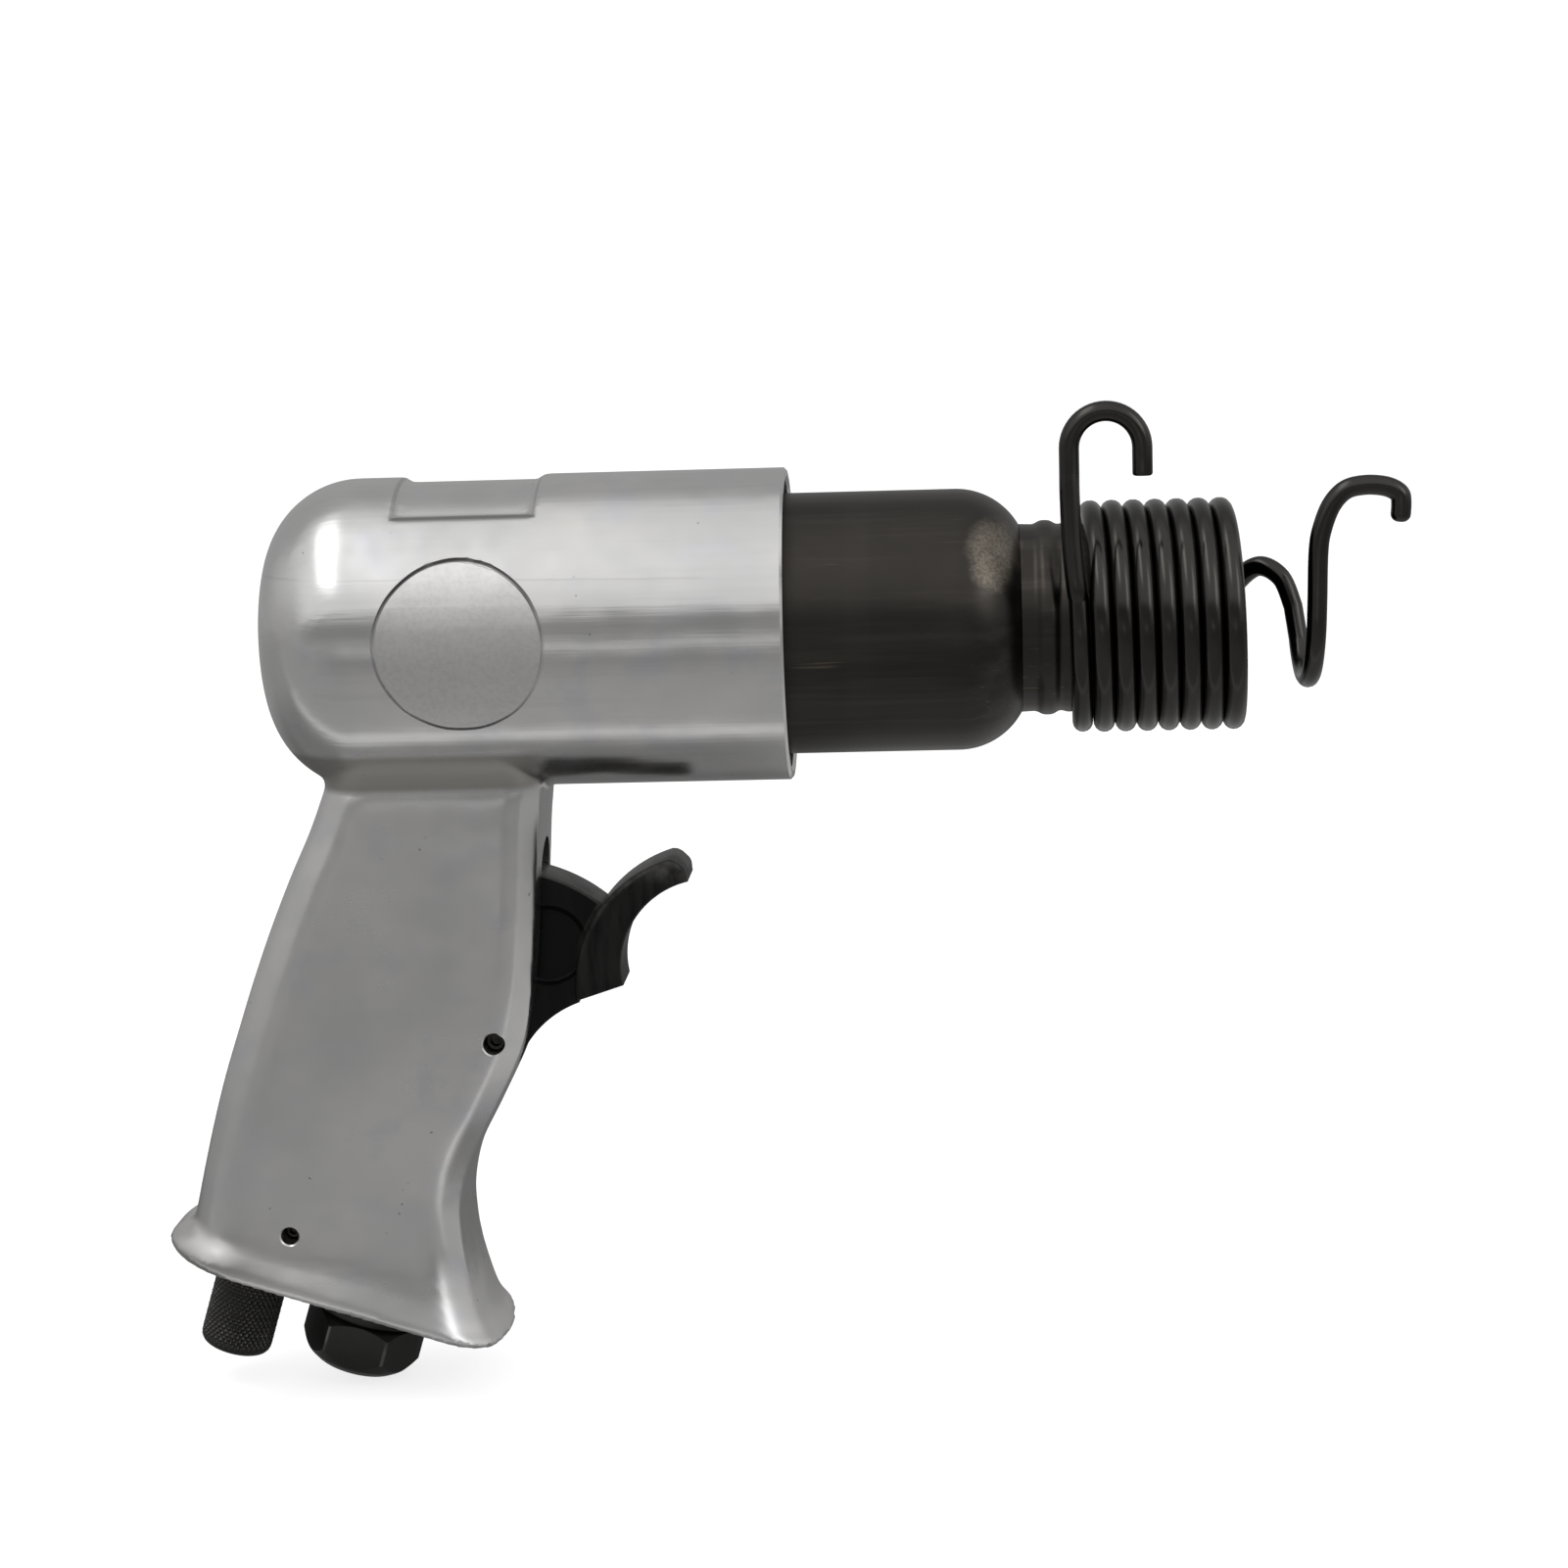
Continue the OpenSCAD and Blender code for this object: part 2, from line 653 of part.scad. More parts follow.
module barrel() {
    air_end = -shank_len - 10;
    color([0.2, 0.17, 0.15]) difference() {
        spin() difference() {
            barrel_profile();
            translate([-over, tail_x - over])
                square([bore_r + over, over - tail_x - shank_len]);
            translate([-over, -shank_len - over])
                square([shank_r + over, shank_len + 2 * over]);
        }
        // Exhaust ports into the skirt, and the air hole to the front of the piston
        for (turn = [45, 135, 225, 315])
            translate([exhaust_x, 0, 0]) rotate([turn, 0, 0])
                cylinder(r = exhaust_r, h = barrel_r + over, $fn = 32);
        translate([0, 0, -air_hole_at]) along_x(air_hole_r, tail_x - over, air_end, 32);
        translate([air_end - air_hole_r, 0, -air_hole_at])
            cylinder(r = air_hole_r, h = air_hole_at - bore_r / 2, $fn = 32);
        dowel_holes(tail_x - over, tail_x + dowel_deep + play);
    }
}

module dowel_holes(from_x, to_x) {
    for (side = [-1, 1])
        translate([0, side * dowel_at_r, 0]) along_x(dowel_r + fit, from_x, to_x, 32);
}

module piston() {
    rear = tail_x + play;
    oil_w = 1;
    oil_depth = 0.5;
    color("lightgray") spin() difference() {
        union() {
            translate([0, rear]) square([bore_r - fit, piston_len]);
            translate([0, rear + piston_len]) square([striker_r, striker_len]);
        }
        for (k = [1 : 3])
            translate([bore_r - fit - oil_depth, rear + k * piston_len / 4])
                square([oil_depth + over, oil_w]);
    }
}

module front_valve_block() {
    pocket = disc_valve_t + disc_valve_travel + 2 * fit;
    color("gray") difference() {
        along_x(tail_r, front_block_x, tail_x);
        along_x(valve_seat_r, front_block_x - over, tail_x + over);
        along_x(disc_valve_r + fit, front_block_x - over, front_block_x + pocket);
        dowel_holes(front_block_x - over, tail_x + over);
        translate([0, 0, -air_hole_at])
            along_x(air_hole_r, front_block_x - over, tail_x + over, 32);
    }
}

module rear_valve_block() {
    color("dimgray") difference() {
        along_x(tail_r, rear_block_x, front_block_x);
        for (turn = [0 : 60 : 300])
            rotate([turn, 0, 0]) translate([0, 0, valve_ring_r])
                along_x(valve_port_r, rear_block_x - over, front_block_x + over, 32);
        dowel_holes(front_block_x - dowel_deep - play, front_block_x + over);
    }
}

module valve_disc() {
    color("gold") along_x(disc_valve_r, front_block_x + fit, front_block_x + fit + disc_valve_t);
}

module valve_dowels() {
    color("lightgray") for (side = [-1, 1])
        translate([0, side * dowel_at_r, 0])
            along_x(dowel_r, front_block_x - dowel_deep, tail_x + dowel_deep, 32);
}

module valve_gasket() {
    color("darkgreen") difference() {
        along_x(tail_r, chest_x, rear_block_x);
        along_x(chest_r, chest_x - over, rear_block_x + over);
    }
}

module retainer_spring() {
    echo(str("Retainer spring, least gap to itself: ",
             least_gap(spring_route, wire_r, 8), " mm"));
    color([0.15, 0.15, 0.15]) skin(wire_rings(spring_route, wire_r, 6, [1, 0, 0]));
}

module trigger_web_shape() {
    far = 2 * web_r;
    difference() {
        union() {
            intersection() {
                circle(web_r, $fn = 96);
                polygon([[0, 0], [-far * sin(web_back_angle), far * cos(web_back_angle)],
                         [far, far], [far, far / 5]]);
            }
            circle(boss_r, $fn = 48);
            polygon(web_foot);
        }
        translate(under_at) circle(under_r, $fn = 96);
        translate(hook_out_at) circle(hook_out_r - play, $fn = 96);
    }
}

module trigger_hook_shape() {
    intersection() {
        translate(hook_out_at) circle(hook_out_r, $fn = 96);
        polygon(concat(hook_foot, hook_tip));
    }
}

// Round space for the finger, flared towards both sides of the hook
module finger_space() {
    flare_at = hook_w / 2 - 0.8 * finger_edge_r;
    translate([finger_at[0], 0, finger_at[1]]) rotate([90, 0, 0]) rotate_extrude($fn = 96)
        difference() {
            translate([0, -hook_w / 2 - over])
                square([finger_r + finger_edge_r, hook_w + 2 * over]);
            translate([finger_r, -flare_at]) square([2 * finger_edge_r, 2 * flare_at]);
            for (side = [-1, 1])
                translate([finger_r + finger_edge_r, side * flare_at])
                    circle(finger_edge_r, $fn = 48);
        }
}

module trigger() {
    color([0.12, 0.12, 0.12]) at_pin() difference() {
        union() {
            difference() {
                plate(web_t) trigger_web_shape();
                for (side = [-1, 1])
                    translate([pocket_at[0], side * (web_t / 2 + over - pocket_depth), pocket_at[1]])
                        across(pocket_r, 2 * over);
            }
            difference() {
                plate(hook_w) trigger_hook_shape();
                finger_space();
            }
        }
        across(trigger_pin_r + fit, hook_w + over);
    }
}

module trigger_pin() { color("gray") at_pin() across(trigger_pin_r, pin_len); }

module throttle_stem() {
    color("goldenrod") at_throttle() {
        spin() intersection() {
            translate([0, head_at]) square([stem_r, stem_nose - head_at]);
            translate([0, stem_nose - crown_r]) union() {
                circle(crown_r, $fn = 96);
                translate([0, head_at - stem_nose]) square([crown_r, stem_nose - head_at]);
            }
        }
        along_x(valve_head_r, head_at - valve_head_t, head_at);
    }
}

module throttle_bush() {
    color("peru") at_throttle() difference() {
        along_x(bush_r, bush_end, slot_floor);
        along_x(stem_r + fit, bush_end - over, slot_floor + over);
        along_x(stem_r + stem_gap, bush_end - over, port_at + 2 * port_r);
        for (turn = [0, 90])
            translate([port_at, 0, 0]) rotate([turn, 0, 0])
                cylinder(r = port_r, h = 3 * bush_r, center = true, $fn = 32);
        translate([bush_groove_at, 0, 0]) rotate([0, 90, 0]) difference() {
            cylinder(r = bush_r + over, h = 2 * bush_seal_r + 0.5, center = true, $fn = 48);
            cylinder(r = bush_r - bush_groove_depth, h = 4 * bush_seal_r, center = true, $fn = 48);
        }
    }
}

module ring_seal(mid_r, r) { rotate_extrude($fn = 48) translate([mid_r, 0]) circle(r, $fn = 24); }

module bush_seal() {
    color([0.1, 0.1, 0.1]) at_throttle() translate([bush_groove_at, 0, 0]) rotate([0, 90, 0])
        ring_seal(bush_r - bush_groove_depth + bush_seal_r + fit, bush_seal_r);
}

module throttle_seal() {
    color([0.1, 0.1, 0.1]) at_throttle()
        translate([bush_end - fit - seal_wire_r, 0, 0]) rotate([0, 90, 0])
            ring_seal(stem_r + fit + seal_wire_r, seal_wire_r);
}

module throttle_spring() {
    steps = 16;
    span = throttle_spring_len - 2 * throttle_wire_r;
    route = [for (k = [0 : throttle_turns * steps])
        let (a = 360 * k / steps)
        [spring_at - throttle_wire_r - span * k / (throttle_turns * steps),
         throttle_coil_r * cos(a), throttle_coil_r * sin(a)]];
    color("lightgray") at_throttle() skin(wire_rings(route, throttle_wire_r, 6, [1, 0, 0]));
}

// Regulator: knob outside, spool with its pin groove, seal groove and air way inside
module regulator_profile() {
    knob_end = -knob_gap - knob_len;
    groove_half = retainer_r + 3 * fit;
    difference() {
        union() {
            translate([0, play]) square([spool_r, spool_len - play]);
            translate([0, -knob_gap]) square([knob_r - over, knob_gap + over]);
            translate([0, knob_end + knob_round]) square([knob_r, knob_len - knob_round]);
            translate([0, knob_end]) square([knob_r - knob_round, knob_len]);
            translate([knob_r - knob_round, knob_end + knob_round])
                circle(knob_round, $fn = 32);
        }
        translate([pin_offset - groove_half, retainer_depth - groove_half])
            square([spool_r, 2 * groove_half]);
        translate([spool_r - spool_groove[2], spool_groove[0]]) square([spool_r, spool_groove[1]]);
    }
}

module regulator() {
    color([0.12, 0.12, 0.12]) at_foot(regulator_at) difference() {
        rotate_extrude($fn = 64) regulator_profile();
        translate([0, 0, cross_duct_w]) rotate([0, 90, 0])
            cylinder(r = duct_r - play, h = spool_r + over, $fn = 32);
        translate([0, 0, cross_duct_w]) cylinder(r = duct_r, h = spool_len, $fn = 32);
    }
}

module regulator_seal() {
    color([0.1, 0.1, 0.1]) at_foot(regulator_at)
        translate([0, 0, spool_groove[0] + spool_groove[1] / 2])
            ring_seal(spool_r - spool_groove[2] + spool_seal_r + fit, spool_seal_r);
}

module regulator_pin() {
    color("gray") at_foot(regulator_at) translate([pin_offset, 0, retainer_depth])
        across(retainer_r, pin_len);
}

module inlet_bushing() {
    hex_top = -inlet_seal_t - collar_len;
    hex_end = hex_top - hex_len;
    inscribed = hex_flats / 2;
    color([0.12, 0.12, 0.12]) at_foot(inlet_at) difference() {
        union() {
            translate([0, 0, -inlet_seal_t]) cylinder(r = inlet_shank_r,
                                    h = inlet_seal_t + inlet_shank_len, $fn = 64);
            translate([0, 0, hex_top]) cylinder(r = collar_r, h = collar_len, $fn = 64);
            intersection() {
                translate([0, 0, hex_end]) cylinder(r = hex_flats / sqrt(3), h = hex_len, $fn = 6);
                // Chamfered ends of the hexagon
                rotate_extrude($fn = 64) polygon([
                    [0, hex_top], [inscribed + 0.3, hex_top], [inscribed + 2, hex_top - 1],
                    [inscribed + 2, hex_end + 3.4], [inscribed - 1, hex_end], [0, hex_end]
                ]);
            }
        }
        translate([0, 0, hex_end - over]) cylinder(r = inlet_r, h = inlet_len + over, $fn = 64);
        translate([0, 0, hex_end]) cylinder(r = valve_seat_r, h = inlet_shank_len - hex_end, $fn = 48);
        translate([0, 0, inlet_shank_len - strainer_deep])
            cylinder(r = strainer_r, h = strainer_deep + over, $fn = 48);
    }
}

module inlet_seal() {
    color([0.1, 0.1, 0.1]) at_foot(inlet_at) translate([0, 0, -inlet_seal_t]) difference() {
        cylinder(r = collar_r, h = inlet_seal_t, $fn = 64);
        translate([0, 0, -over]) cylinder(r = inlet_shank_r + fit, h = 4 * over, $fn = 64);
    }
}

module inlet_strainer() {
    color("lightgray") at_foot(inlet_at)
        translate([0, 0, inlet_shank_len - strainer_deep]) difference() {
            cylinder(r = strainer_r - fit, h = strainer_len, $fn = 48);
            translate([0, 0, strainer_wall])
                cylinder(r = strainer_r - fit - strainer_wall, h = strainer_len, $fn = 48);
            for (turn = [0 : 60 : 300])
                rotate([0, 0, turn]) translate([2.5, 0, -over]) cylinder(r = 0.8, h = 3, $fn = 24);
        }
}

housing();
barrel();
piston();
front_valve_block();
rear_valve_block();
valve_disc();
valve_dowels();
valve_gasket();
retainer_spring();
trigger();
trigger_pin();
throttle_stem();
throttle_bush();
bush_seal();
throttle_seal();
throttle_spring();
regulator();
regulator_seal();
regulator_pin();
inlet_bushing();
inlet_seal();
inlet_strainer();
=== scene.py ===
# %% [markdown]
# # Pneumatic chisel
# A pistol grip air hammer, dressed for a product picture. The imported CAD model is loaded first
# and stays as it is: it is the frame that every piece here is built around. The pieces that show
# are then modelled again with finer shapes and get their finishes, and the studio comes last.

import math

import bpy
from mathutils import Matrix, Vector


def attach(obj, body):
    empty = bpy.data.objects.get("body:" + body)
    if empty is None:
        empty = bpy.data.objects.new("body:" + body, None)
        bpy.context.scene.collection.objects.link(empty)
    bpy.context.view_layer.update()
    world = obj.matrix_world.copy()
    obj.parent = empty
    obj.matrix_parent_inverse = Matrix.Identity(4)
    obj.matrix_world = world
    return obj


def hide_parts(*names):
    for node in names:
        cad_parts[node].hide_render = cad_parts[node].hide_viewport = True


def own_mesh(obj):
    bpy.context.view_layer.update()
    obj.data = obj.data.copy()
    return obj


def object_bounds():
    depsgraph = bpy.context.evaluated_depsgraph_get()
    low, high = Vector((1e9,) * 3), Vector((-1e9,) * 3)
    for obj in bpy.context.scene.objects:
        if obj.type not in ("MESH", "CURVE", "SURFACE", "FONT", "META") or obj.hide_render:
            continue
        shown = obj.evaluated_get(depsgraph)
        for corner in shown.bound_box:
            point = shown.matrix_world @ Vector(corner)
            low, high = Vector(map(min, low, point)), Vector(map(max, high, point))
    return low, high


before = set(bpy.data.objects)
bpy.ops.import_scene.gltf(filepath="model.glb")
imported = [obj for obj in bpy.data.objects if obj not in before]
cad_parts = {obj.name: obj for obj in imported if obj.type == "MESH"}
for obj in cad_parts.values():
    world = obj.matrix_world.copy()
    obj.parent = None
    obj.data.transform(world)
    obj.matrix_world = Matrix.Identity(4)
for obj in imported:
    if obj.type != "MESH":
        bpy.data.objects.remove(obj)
cad_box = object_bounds()
MM = 0.001
print("CAD box in mm:", [[round(v / MM, 1) for v in corner] for corner in cad_box])

# %% [markdown]
# ## Camera
# The picture was taken from about half a metre with a long lens, a little from the front and a
# little above the barrel. A camera is placed by its three axes, because that gives its small
# roll directly, where aiming it with a constraint would always keep the horizon level.

# %% Camera
CAMERA_AT = Vector((-34.19, -550.39, 55.31)) * MM
AROUND, ABOVE, ROLL = math.radians(3.0), math.radians(8.5), math.radians(1.67)

back = Vector((math.sin(AROUND) * math.cos(ABOVE), -math.cos(AROUND) * math.cos(ABOVE),
               math.sin(ABOVE)))
level = Vector((math.cos(AROUND), math.sin(AROUND), 0))
upright = back.cross(level)
right = math.cos(ROLL) * level - math.sin(ROLL) * upright
up = math.sin(ROLL) * level + math.cos(ROLL) * upright

bpy.ops.object.camera_add()
camera = bpy.context.object
camera.data.sensor_width = 36
camera.data.lens = 76.1
camera_turn = Matrix((right, up, back)).transposed().to_4x4()
camera.matrix_world = Matrix.Translation(CAMERA_AT) @ camera_turn
camera.data.clip_start, camera.data.clip_end = 0.01, 20
bpy.context.scene.camera = camera
bpy.context.scene.view_settings.view_transform = "Standard"
print("Camera looks along", [round(v, 3) for v in -back])

# %% [markdown]
# ## Modelling helpers
# Most pieces of this tool are turned, drilled or cut from plate, so a handful of helpers does
# nearly all the work. An outline is drawn by extruding one vertex from point to point, as by
# hand, and is then spun round an axis or filled and extruded. Everything is in millimetres until
# it becomes a vertex.

# %% Selecting and finishing
def nothing_selected():
    if bpy.context.mode != "OBJECT":
        bpy.ops.object.mode_set(mode="OBJECT")
    bpy.ops.object.select_all(action="DESELECT")


def only(piece):
    nothing_selected()
    piece.select_set(True)
    bpy.context.view_layer.objects.active = piece


def edit(piece):
    only(piece)
    bpy.ops.object.mode_set(mode="EDIT")
    bpy.ops.mesh.select_mode(type="VERT")
    bpy.ops.mesh.select_all(action="SELECT")


def clean(merge=0.002):
    """In edit mode: merges places closer than this, in mm, and turns every face outwards."""
    bpy.ops.mesh.select_all(action="SELECT")
    if merge:
        bpy.ops.mesh.remove_doubles(threshold=merge * MM)
    bpy.ops.mesh.normals_make_consistent(inside=False)


def done(piece, name):
    nothing_selected()
    piece.name = piece.data.name = name
    return piece


def tell(title, piece):
    print(title + ":", len(piece.data.polygons), "faces")


def modify(piece, kind, **settings):
    only(piece)
    modifier = piece.modifiers.new(kind, kind)
    for key, value in settings.items():
        setattr(modifier, key, value)
    bpy.ops.object.modifier_apply(modifier=modifier.name)


# %% Outlines
def arc(centre, radius, start, end, steps):
    turn = [math.radians(start + (end - start) * k / steps) for k in range(steps + 1)]
    return [(centre[0] + radius * math.cos(a), centre[1] + radius * math.sin(a)) for a in turn]


def rounded(points, radius, steps=4):
    """An outline with its inner corners rounded."""
    made = [points[0]]
    for before, at, after in zip(points, points[1:], points[2:]):
        at = Vector(at)
        run_in, run_out = Vector(before) - at, Vector(after) - at
        trim = min(radius, 0.45 * run_in.length, 0.45 * run_out.length)
        first, last = at + trim * run_in.normalized(), at + trim * run_out.normalized()
        for k in range(steps + 1):
            t = k / steps
            made.append(tuple((1 - t) ** 2 * first + 2 * t * (1 - t) * at + t * t * last))
    return made + [points[-1]]


def draw(points):
    """One vertex, extruded along a list of points."""
    nothing_selected()
    bpy.ops.mesh.primitive_plane_add(size=MM, enter_editmode=True)
    bpy.ops.mesh.select_mode(type="VERT")
    bpy.ops.mesh.select_all(action="SELECT")
    bpy.ops.mesh.merge(type="CENTER")
    place = [Vector(p) * MM for p in points]
    bpy.ops.transform.translate(value=place[0])
    for a, b in zip(place, place[1:]):
        bpy.ops.mesh.extrude_region_move(TRANSFORM_OT_translate={"value": b - a})
    return bpy.context.object


def turned(outline, steps, name="turned"):
    """An outline of places along X and radii, spun round X. A closed outline repeats its start."""
    piece = draw([(x, 0, r) for x, r in outline])
    bpy.ops.mesh.select_all(action="SELECT")
    bpy.ops.mesh.spin(steps=steps, angle=2 * math.pi, center=(0, 0, 0), axis=(1, 0, 0))
    clean()
    return done(piece, name)


def bar(start, end, radius, steps):
    """A plain round bar along X, to drill or bore with."""
    return turned([(start, 0), (start, radius), (end, radius), (end, 0)], steps)


def plate(outline, half, name="plate", edge=0.0, segments=3):
    """A flat outline of x and z, extruded to both sides, with its edges rounded."""
    piece = draw([(x, -half, z) for x, z in outline])
    bpy.ops.mesh.select_all(action="SELECT")
    bpy.ops.mesh.edge_face_add()
    bpy.ops.mesh.extrude_region_move(TRANSFORM_OT_translate={"value": (0, 2 * half * MM, 0)})
    clean(merge=0)
    if edge:
        bpy.ops.mesh.select_mode(type="FACE")
        bpy.ops.mesh.select_all(action="DESELECT")
        bpy.ops.object.mode_set(mode="OBJECT")
        for face in piece.data.polygons:
            face.select = abs(face.normal.y) > 0.99
        bpy.ops.object.mode_set(mode="EDIT")
        bpy.ops.mesh.region_to_loop()
        bpy.ops.mesh.bevel(offset=edge * MM, segments=segments, affect="EDGES")
    return done(piece, name)


def placed(piece, axes, at):
    """Moves a piece made at the origin: axes are where its X, Y and Z go."""
    turn = Matrix([Vector(a) for a in axes]).transposed().to_4x4()
    piece.matrix_world = Matrix.Translation(Vector(at) * MM) @ turn
    only(piece)
    bpy.ops.object.transform_apply(location=True, rotation=True, scale=True)
    return done(piece, piece.name)


# %% Cutting and joining
def combine(piece, other, operation):
    modify(piece, "BOOLEAN", object=other, operation=operation, solver="MANIFOLD")
    if not piece.data.polygons:
        raise RuntimeError("nothing is left of " + piece.name)
    bpy.data.objects.remove(other)
    return piece


def cut(piece, *cutters):
    for cutter in cutters:
        combine(piece, cutter, "DIFFERENCE")


def smooth_faces(piece, angle):
    only(piece)
    bpy.ops.object.shade_smooth_by_angle(angle=math.radians(angle))
    return done(piece, piece.name)


print("Helpers ready")

# %% [markdown]
# ## Places on the tool
# The grip leans, the trigger leans a little less, and the foot is tilted the other way. Their
# frames are worked out once from the same numbers as the CAD model's.

# %% Frames
RIM_X, HEAD_R, HEAD_LEN = -61.2, 26.0, 88.4
BACK_X = RIM_X - HEAD_LEN
SKIRT_R, SKIRT_FLOOR_X, TAIL_X, CHEST_X = 24.2, -88.0, -106.0, -118.0
PIN_X, PIN_Z, LEAN = RIM_X - 50.7, -67.7, math.radians(6.2)
FOOT_BACK, FOOT_TILT = (-169.6, -103.5), math.radians(17.330884)
REGULATOR_AT, INLET_AT = 13.7, 34.8

INTO_FOOT = (math.sin(FOOT_TILT), 0, math.cos(FOOT_TILT))
ALONG_FOOT = (math.cos(FOOT_TILT), 0, -math.sin(FOOT_TILT))
ACROSS = (0, 1, 0)


def foot_point(u, w):
    return (FOOT_BACK[0] + u * ALONG_FOOT[0] + w * INTO_FOOT[0],
            FOOT_BACK[1] + u * ALONG_FOOT[2] + w * INTO_FOOT[2])


def pin_point(a, b):
    return (PIN_X + a * math.cos(LEAN) + b * math.sin(LEAN),
            PIN_Z - a * math.sin(LEAN) + b * math.cos(LEAN))


def on_foot(piece, u):
    """A piece turned round X goes onto the foot, with its X up into the grip."""
    x, z = foot_point(u, 0)
    return placed(piece, (INTO_FOOT, ACROSS, [-v for v in ALONG_FOOT]), (x, 0, z))


def crossing(piece, x, z):
    """A piece turned round X goes across the grip."""
    return placed(piece, (ACROSS, (-1, 0, 0), (0, 0, 1)), (x, 0, z))


def rod(start, end, radius, steps=48):
    """A plain round cutter between two places in the middle plane."""
    run = Vector((end[0] - start[0], 0, end[1] - start[1]))
    piece = bar(0, run.length, radius, steps)
    along = run.normalized()
    return placed(piece, (along, ACROSS, along.cross(Vector(ACROSS))), (start[0], 0, start[1]))


print("Regulator enters the foot at", [round(v, 2) for v in foot_point(REGULATOR_AT, 0)])

# %% [markdown]
# ## The casting: head
# The housing is one aluminium casting. Its head is a plain turned shape, a tube with a domed
# back, so its outline is drawn once and spun. A cylinder with a bevelled end would give the
# corner but not the slight bulge of the back. The head runs a little past the rim, which is
# faced off later with a crisp edge.

# %% Head
DOME_R, BULGE_R, EXTRA, HEAD_STEPS = 16.0, 60.0, 2.0, 192
corner_r = HEAD_R - DOME_R
corner_x = BACK_X + BULGE_R - math.sqrt((BULGE_R - DOME_R) ** 2 - corner_r ** 2)
meet_angle = math.degrees(math.asin(corner_r / (BULGE_R - DOME_R)))
bulge = arc((BACK_X + BULGE_R, 0), BULGE_R, 180, 180 - meet_angle, 10)
round_corner = arc((corner_x, corner_r), DOME_R, 180 - meet_angle, 90, 24)
casting = turned(bulge + round_corner[1:] + [(RIM_X + EXTRA, HEAD_R), (RIM_X + EXTRA, 0)],
                 HEAD_STEPS, "housing_casting")
tell("Head", casting)

# %% [markdown]
# ## The casting: throat and grip
# The grip is a loft. Each station is a rounded oblong between the back strap and the front
# strap, and a smooth curve runs through the stations. A filled circle is laid on the first one
# and extruded to each next one, so the cap follows and the solid stays closed. Above the grip
# the same loft widens along a hollow fillet into the head.

# %% Grip stations
# Rear x and z, front x and z, with x from the rim, and how much of the foot's flare has come
STATIONS = [
    [-78.3, -24.9, -41.2, -24.9, -0.3],
    [-78.7, -25.9, -41.3, -25.9, 0.02],
    [-81.2, -32.2, -42.1, -33.0, 0],
    [-84.9, -40.0, -42.7, -42.0, 0],
    [-88.7, -48.8, -43.4, -52.0, 0],
    [-92.1, -57.6, -44.6, -62.0, 0],
    [-95.0, -65.8, -47.0, -71.0, 0],
    [-97.8, -74.0, -51.5, -80.3, 0],
    [-100.0, -81.5, -56.0, -89.0, 0],
    [-101.7, -88.0, -57.9, -96.6, 0],
    [-102.9, -92.8, -57.8, -102.9, 0.03],
    [-103.8, -96.3, -57.0, -107.9, 0.15],
    [-104.8, -98.9, -55.6, -112.6, 0.42],
    [-107.5, -100.3, -53.7, -117.3, 0.78],
    [-109.2, -101.9, -51.4, -120.3, 1],
    [-108.4, -103.5, -52.0, -121.1, 0.88],
]
GRIP_HALF, FLARE, FRONT_FLARE, CROWN, FOOT_CROWN = 15.2, 1.9, 0.05, 0.3, 1.6
THROAT_R, THROAT_HALF, THROAT_REAR, THROAT_LONG = 11.0, 14.85, -78.3, 37.1
THROAT_TOP, THROAT_END = -8.0, -24.5
BACK_EDGE_R, BACK_CORNER_R, EDGE_STEPS = 9.0, 13.5, 12
# The front strap's edge: large round, length of its bevel, small round. The low form takes over
# below LOW_FROM_Z, and the foot's once FOOT_FROM of the flare has come.
TOP_STRAP, LOW_STRAP, FOOT_STRAP = (5.0, 3.5, 1.1), (6.5, 2.3, 1.5), (8.0, 0.3, 7.6)
BEVEL, LOW_FROM_Z, LOW_SPAN, FOOT_FROM = 38, -62, 26, 0.3


def limited(value):
    """A share, kept between 0 and 1."""
    return min(max(value, 0), 1)


def smooth_run(points, steps):
    """A Catmull-Rom curve through a list of points."""
    made = []
    for i in range(len(points) - 1):
        four = [points[min(max(j, 0), len(points) - 1)] for j in range(i - 1, i + 3)]
        for k in range(steps):
            t = k / steps
            made.append([0.5 * (2 * b + (c - a) * t + (2 * a - 5 * b + 4 * c - d) * t * t
                                + (3 * b - a - 3 * c + d) * t ** 3) for a, b, c, d in zip(*four)])
    return made + [list(points[-1])]


def oblong(long, half, strap, rear_r, crown):
    """A flat sided section with a round rear, bevelled front edges and a slight front crown."""
    large, bevel, small = strap
    slope = math.radians(BEVEL)
    edge_y = half - large + (large - small) * math.sin(slope) - bevel * math.cos(slope)
    lean = math.atan2(2 * crown, edge_y)
    turn = math.degrees(lean)
    small_x = long - crown - small * math.cos(lean)
    large_x = small_x + (small - large) * math.cos(slope) - bevel * math.sin(slope)
    side = (arc((small_x, edge_y), small, turn, BEVEL, EDGE_STEPS // 2)
            + arc((large_x, half - large), large, BEVEL, 90, EDGE_STEPS))
    land_y = edge_y + small * math.sin(lean)
    land = [(long - crown * t * t, t * land_y) for t in (k / 8 for k in range(-7, 8))]
    return (side + arc((rear_r, half - rear_r), rear_r, 90, 180, EDGE_STEPS)
            + arc((rear_r, rear_r - half), rear_r, 180, 270, EDGE_STEPS)
            + [(a, -b) for a, b in reversed(side)] + land)


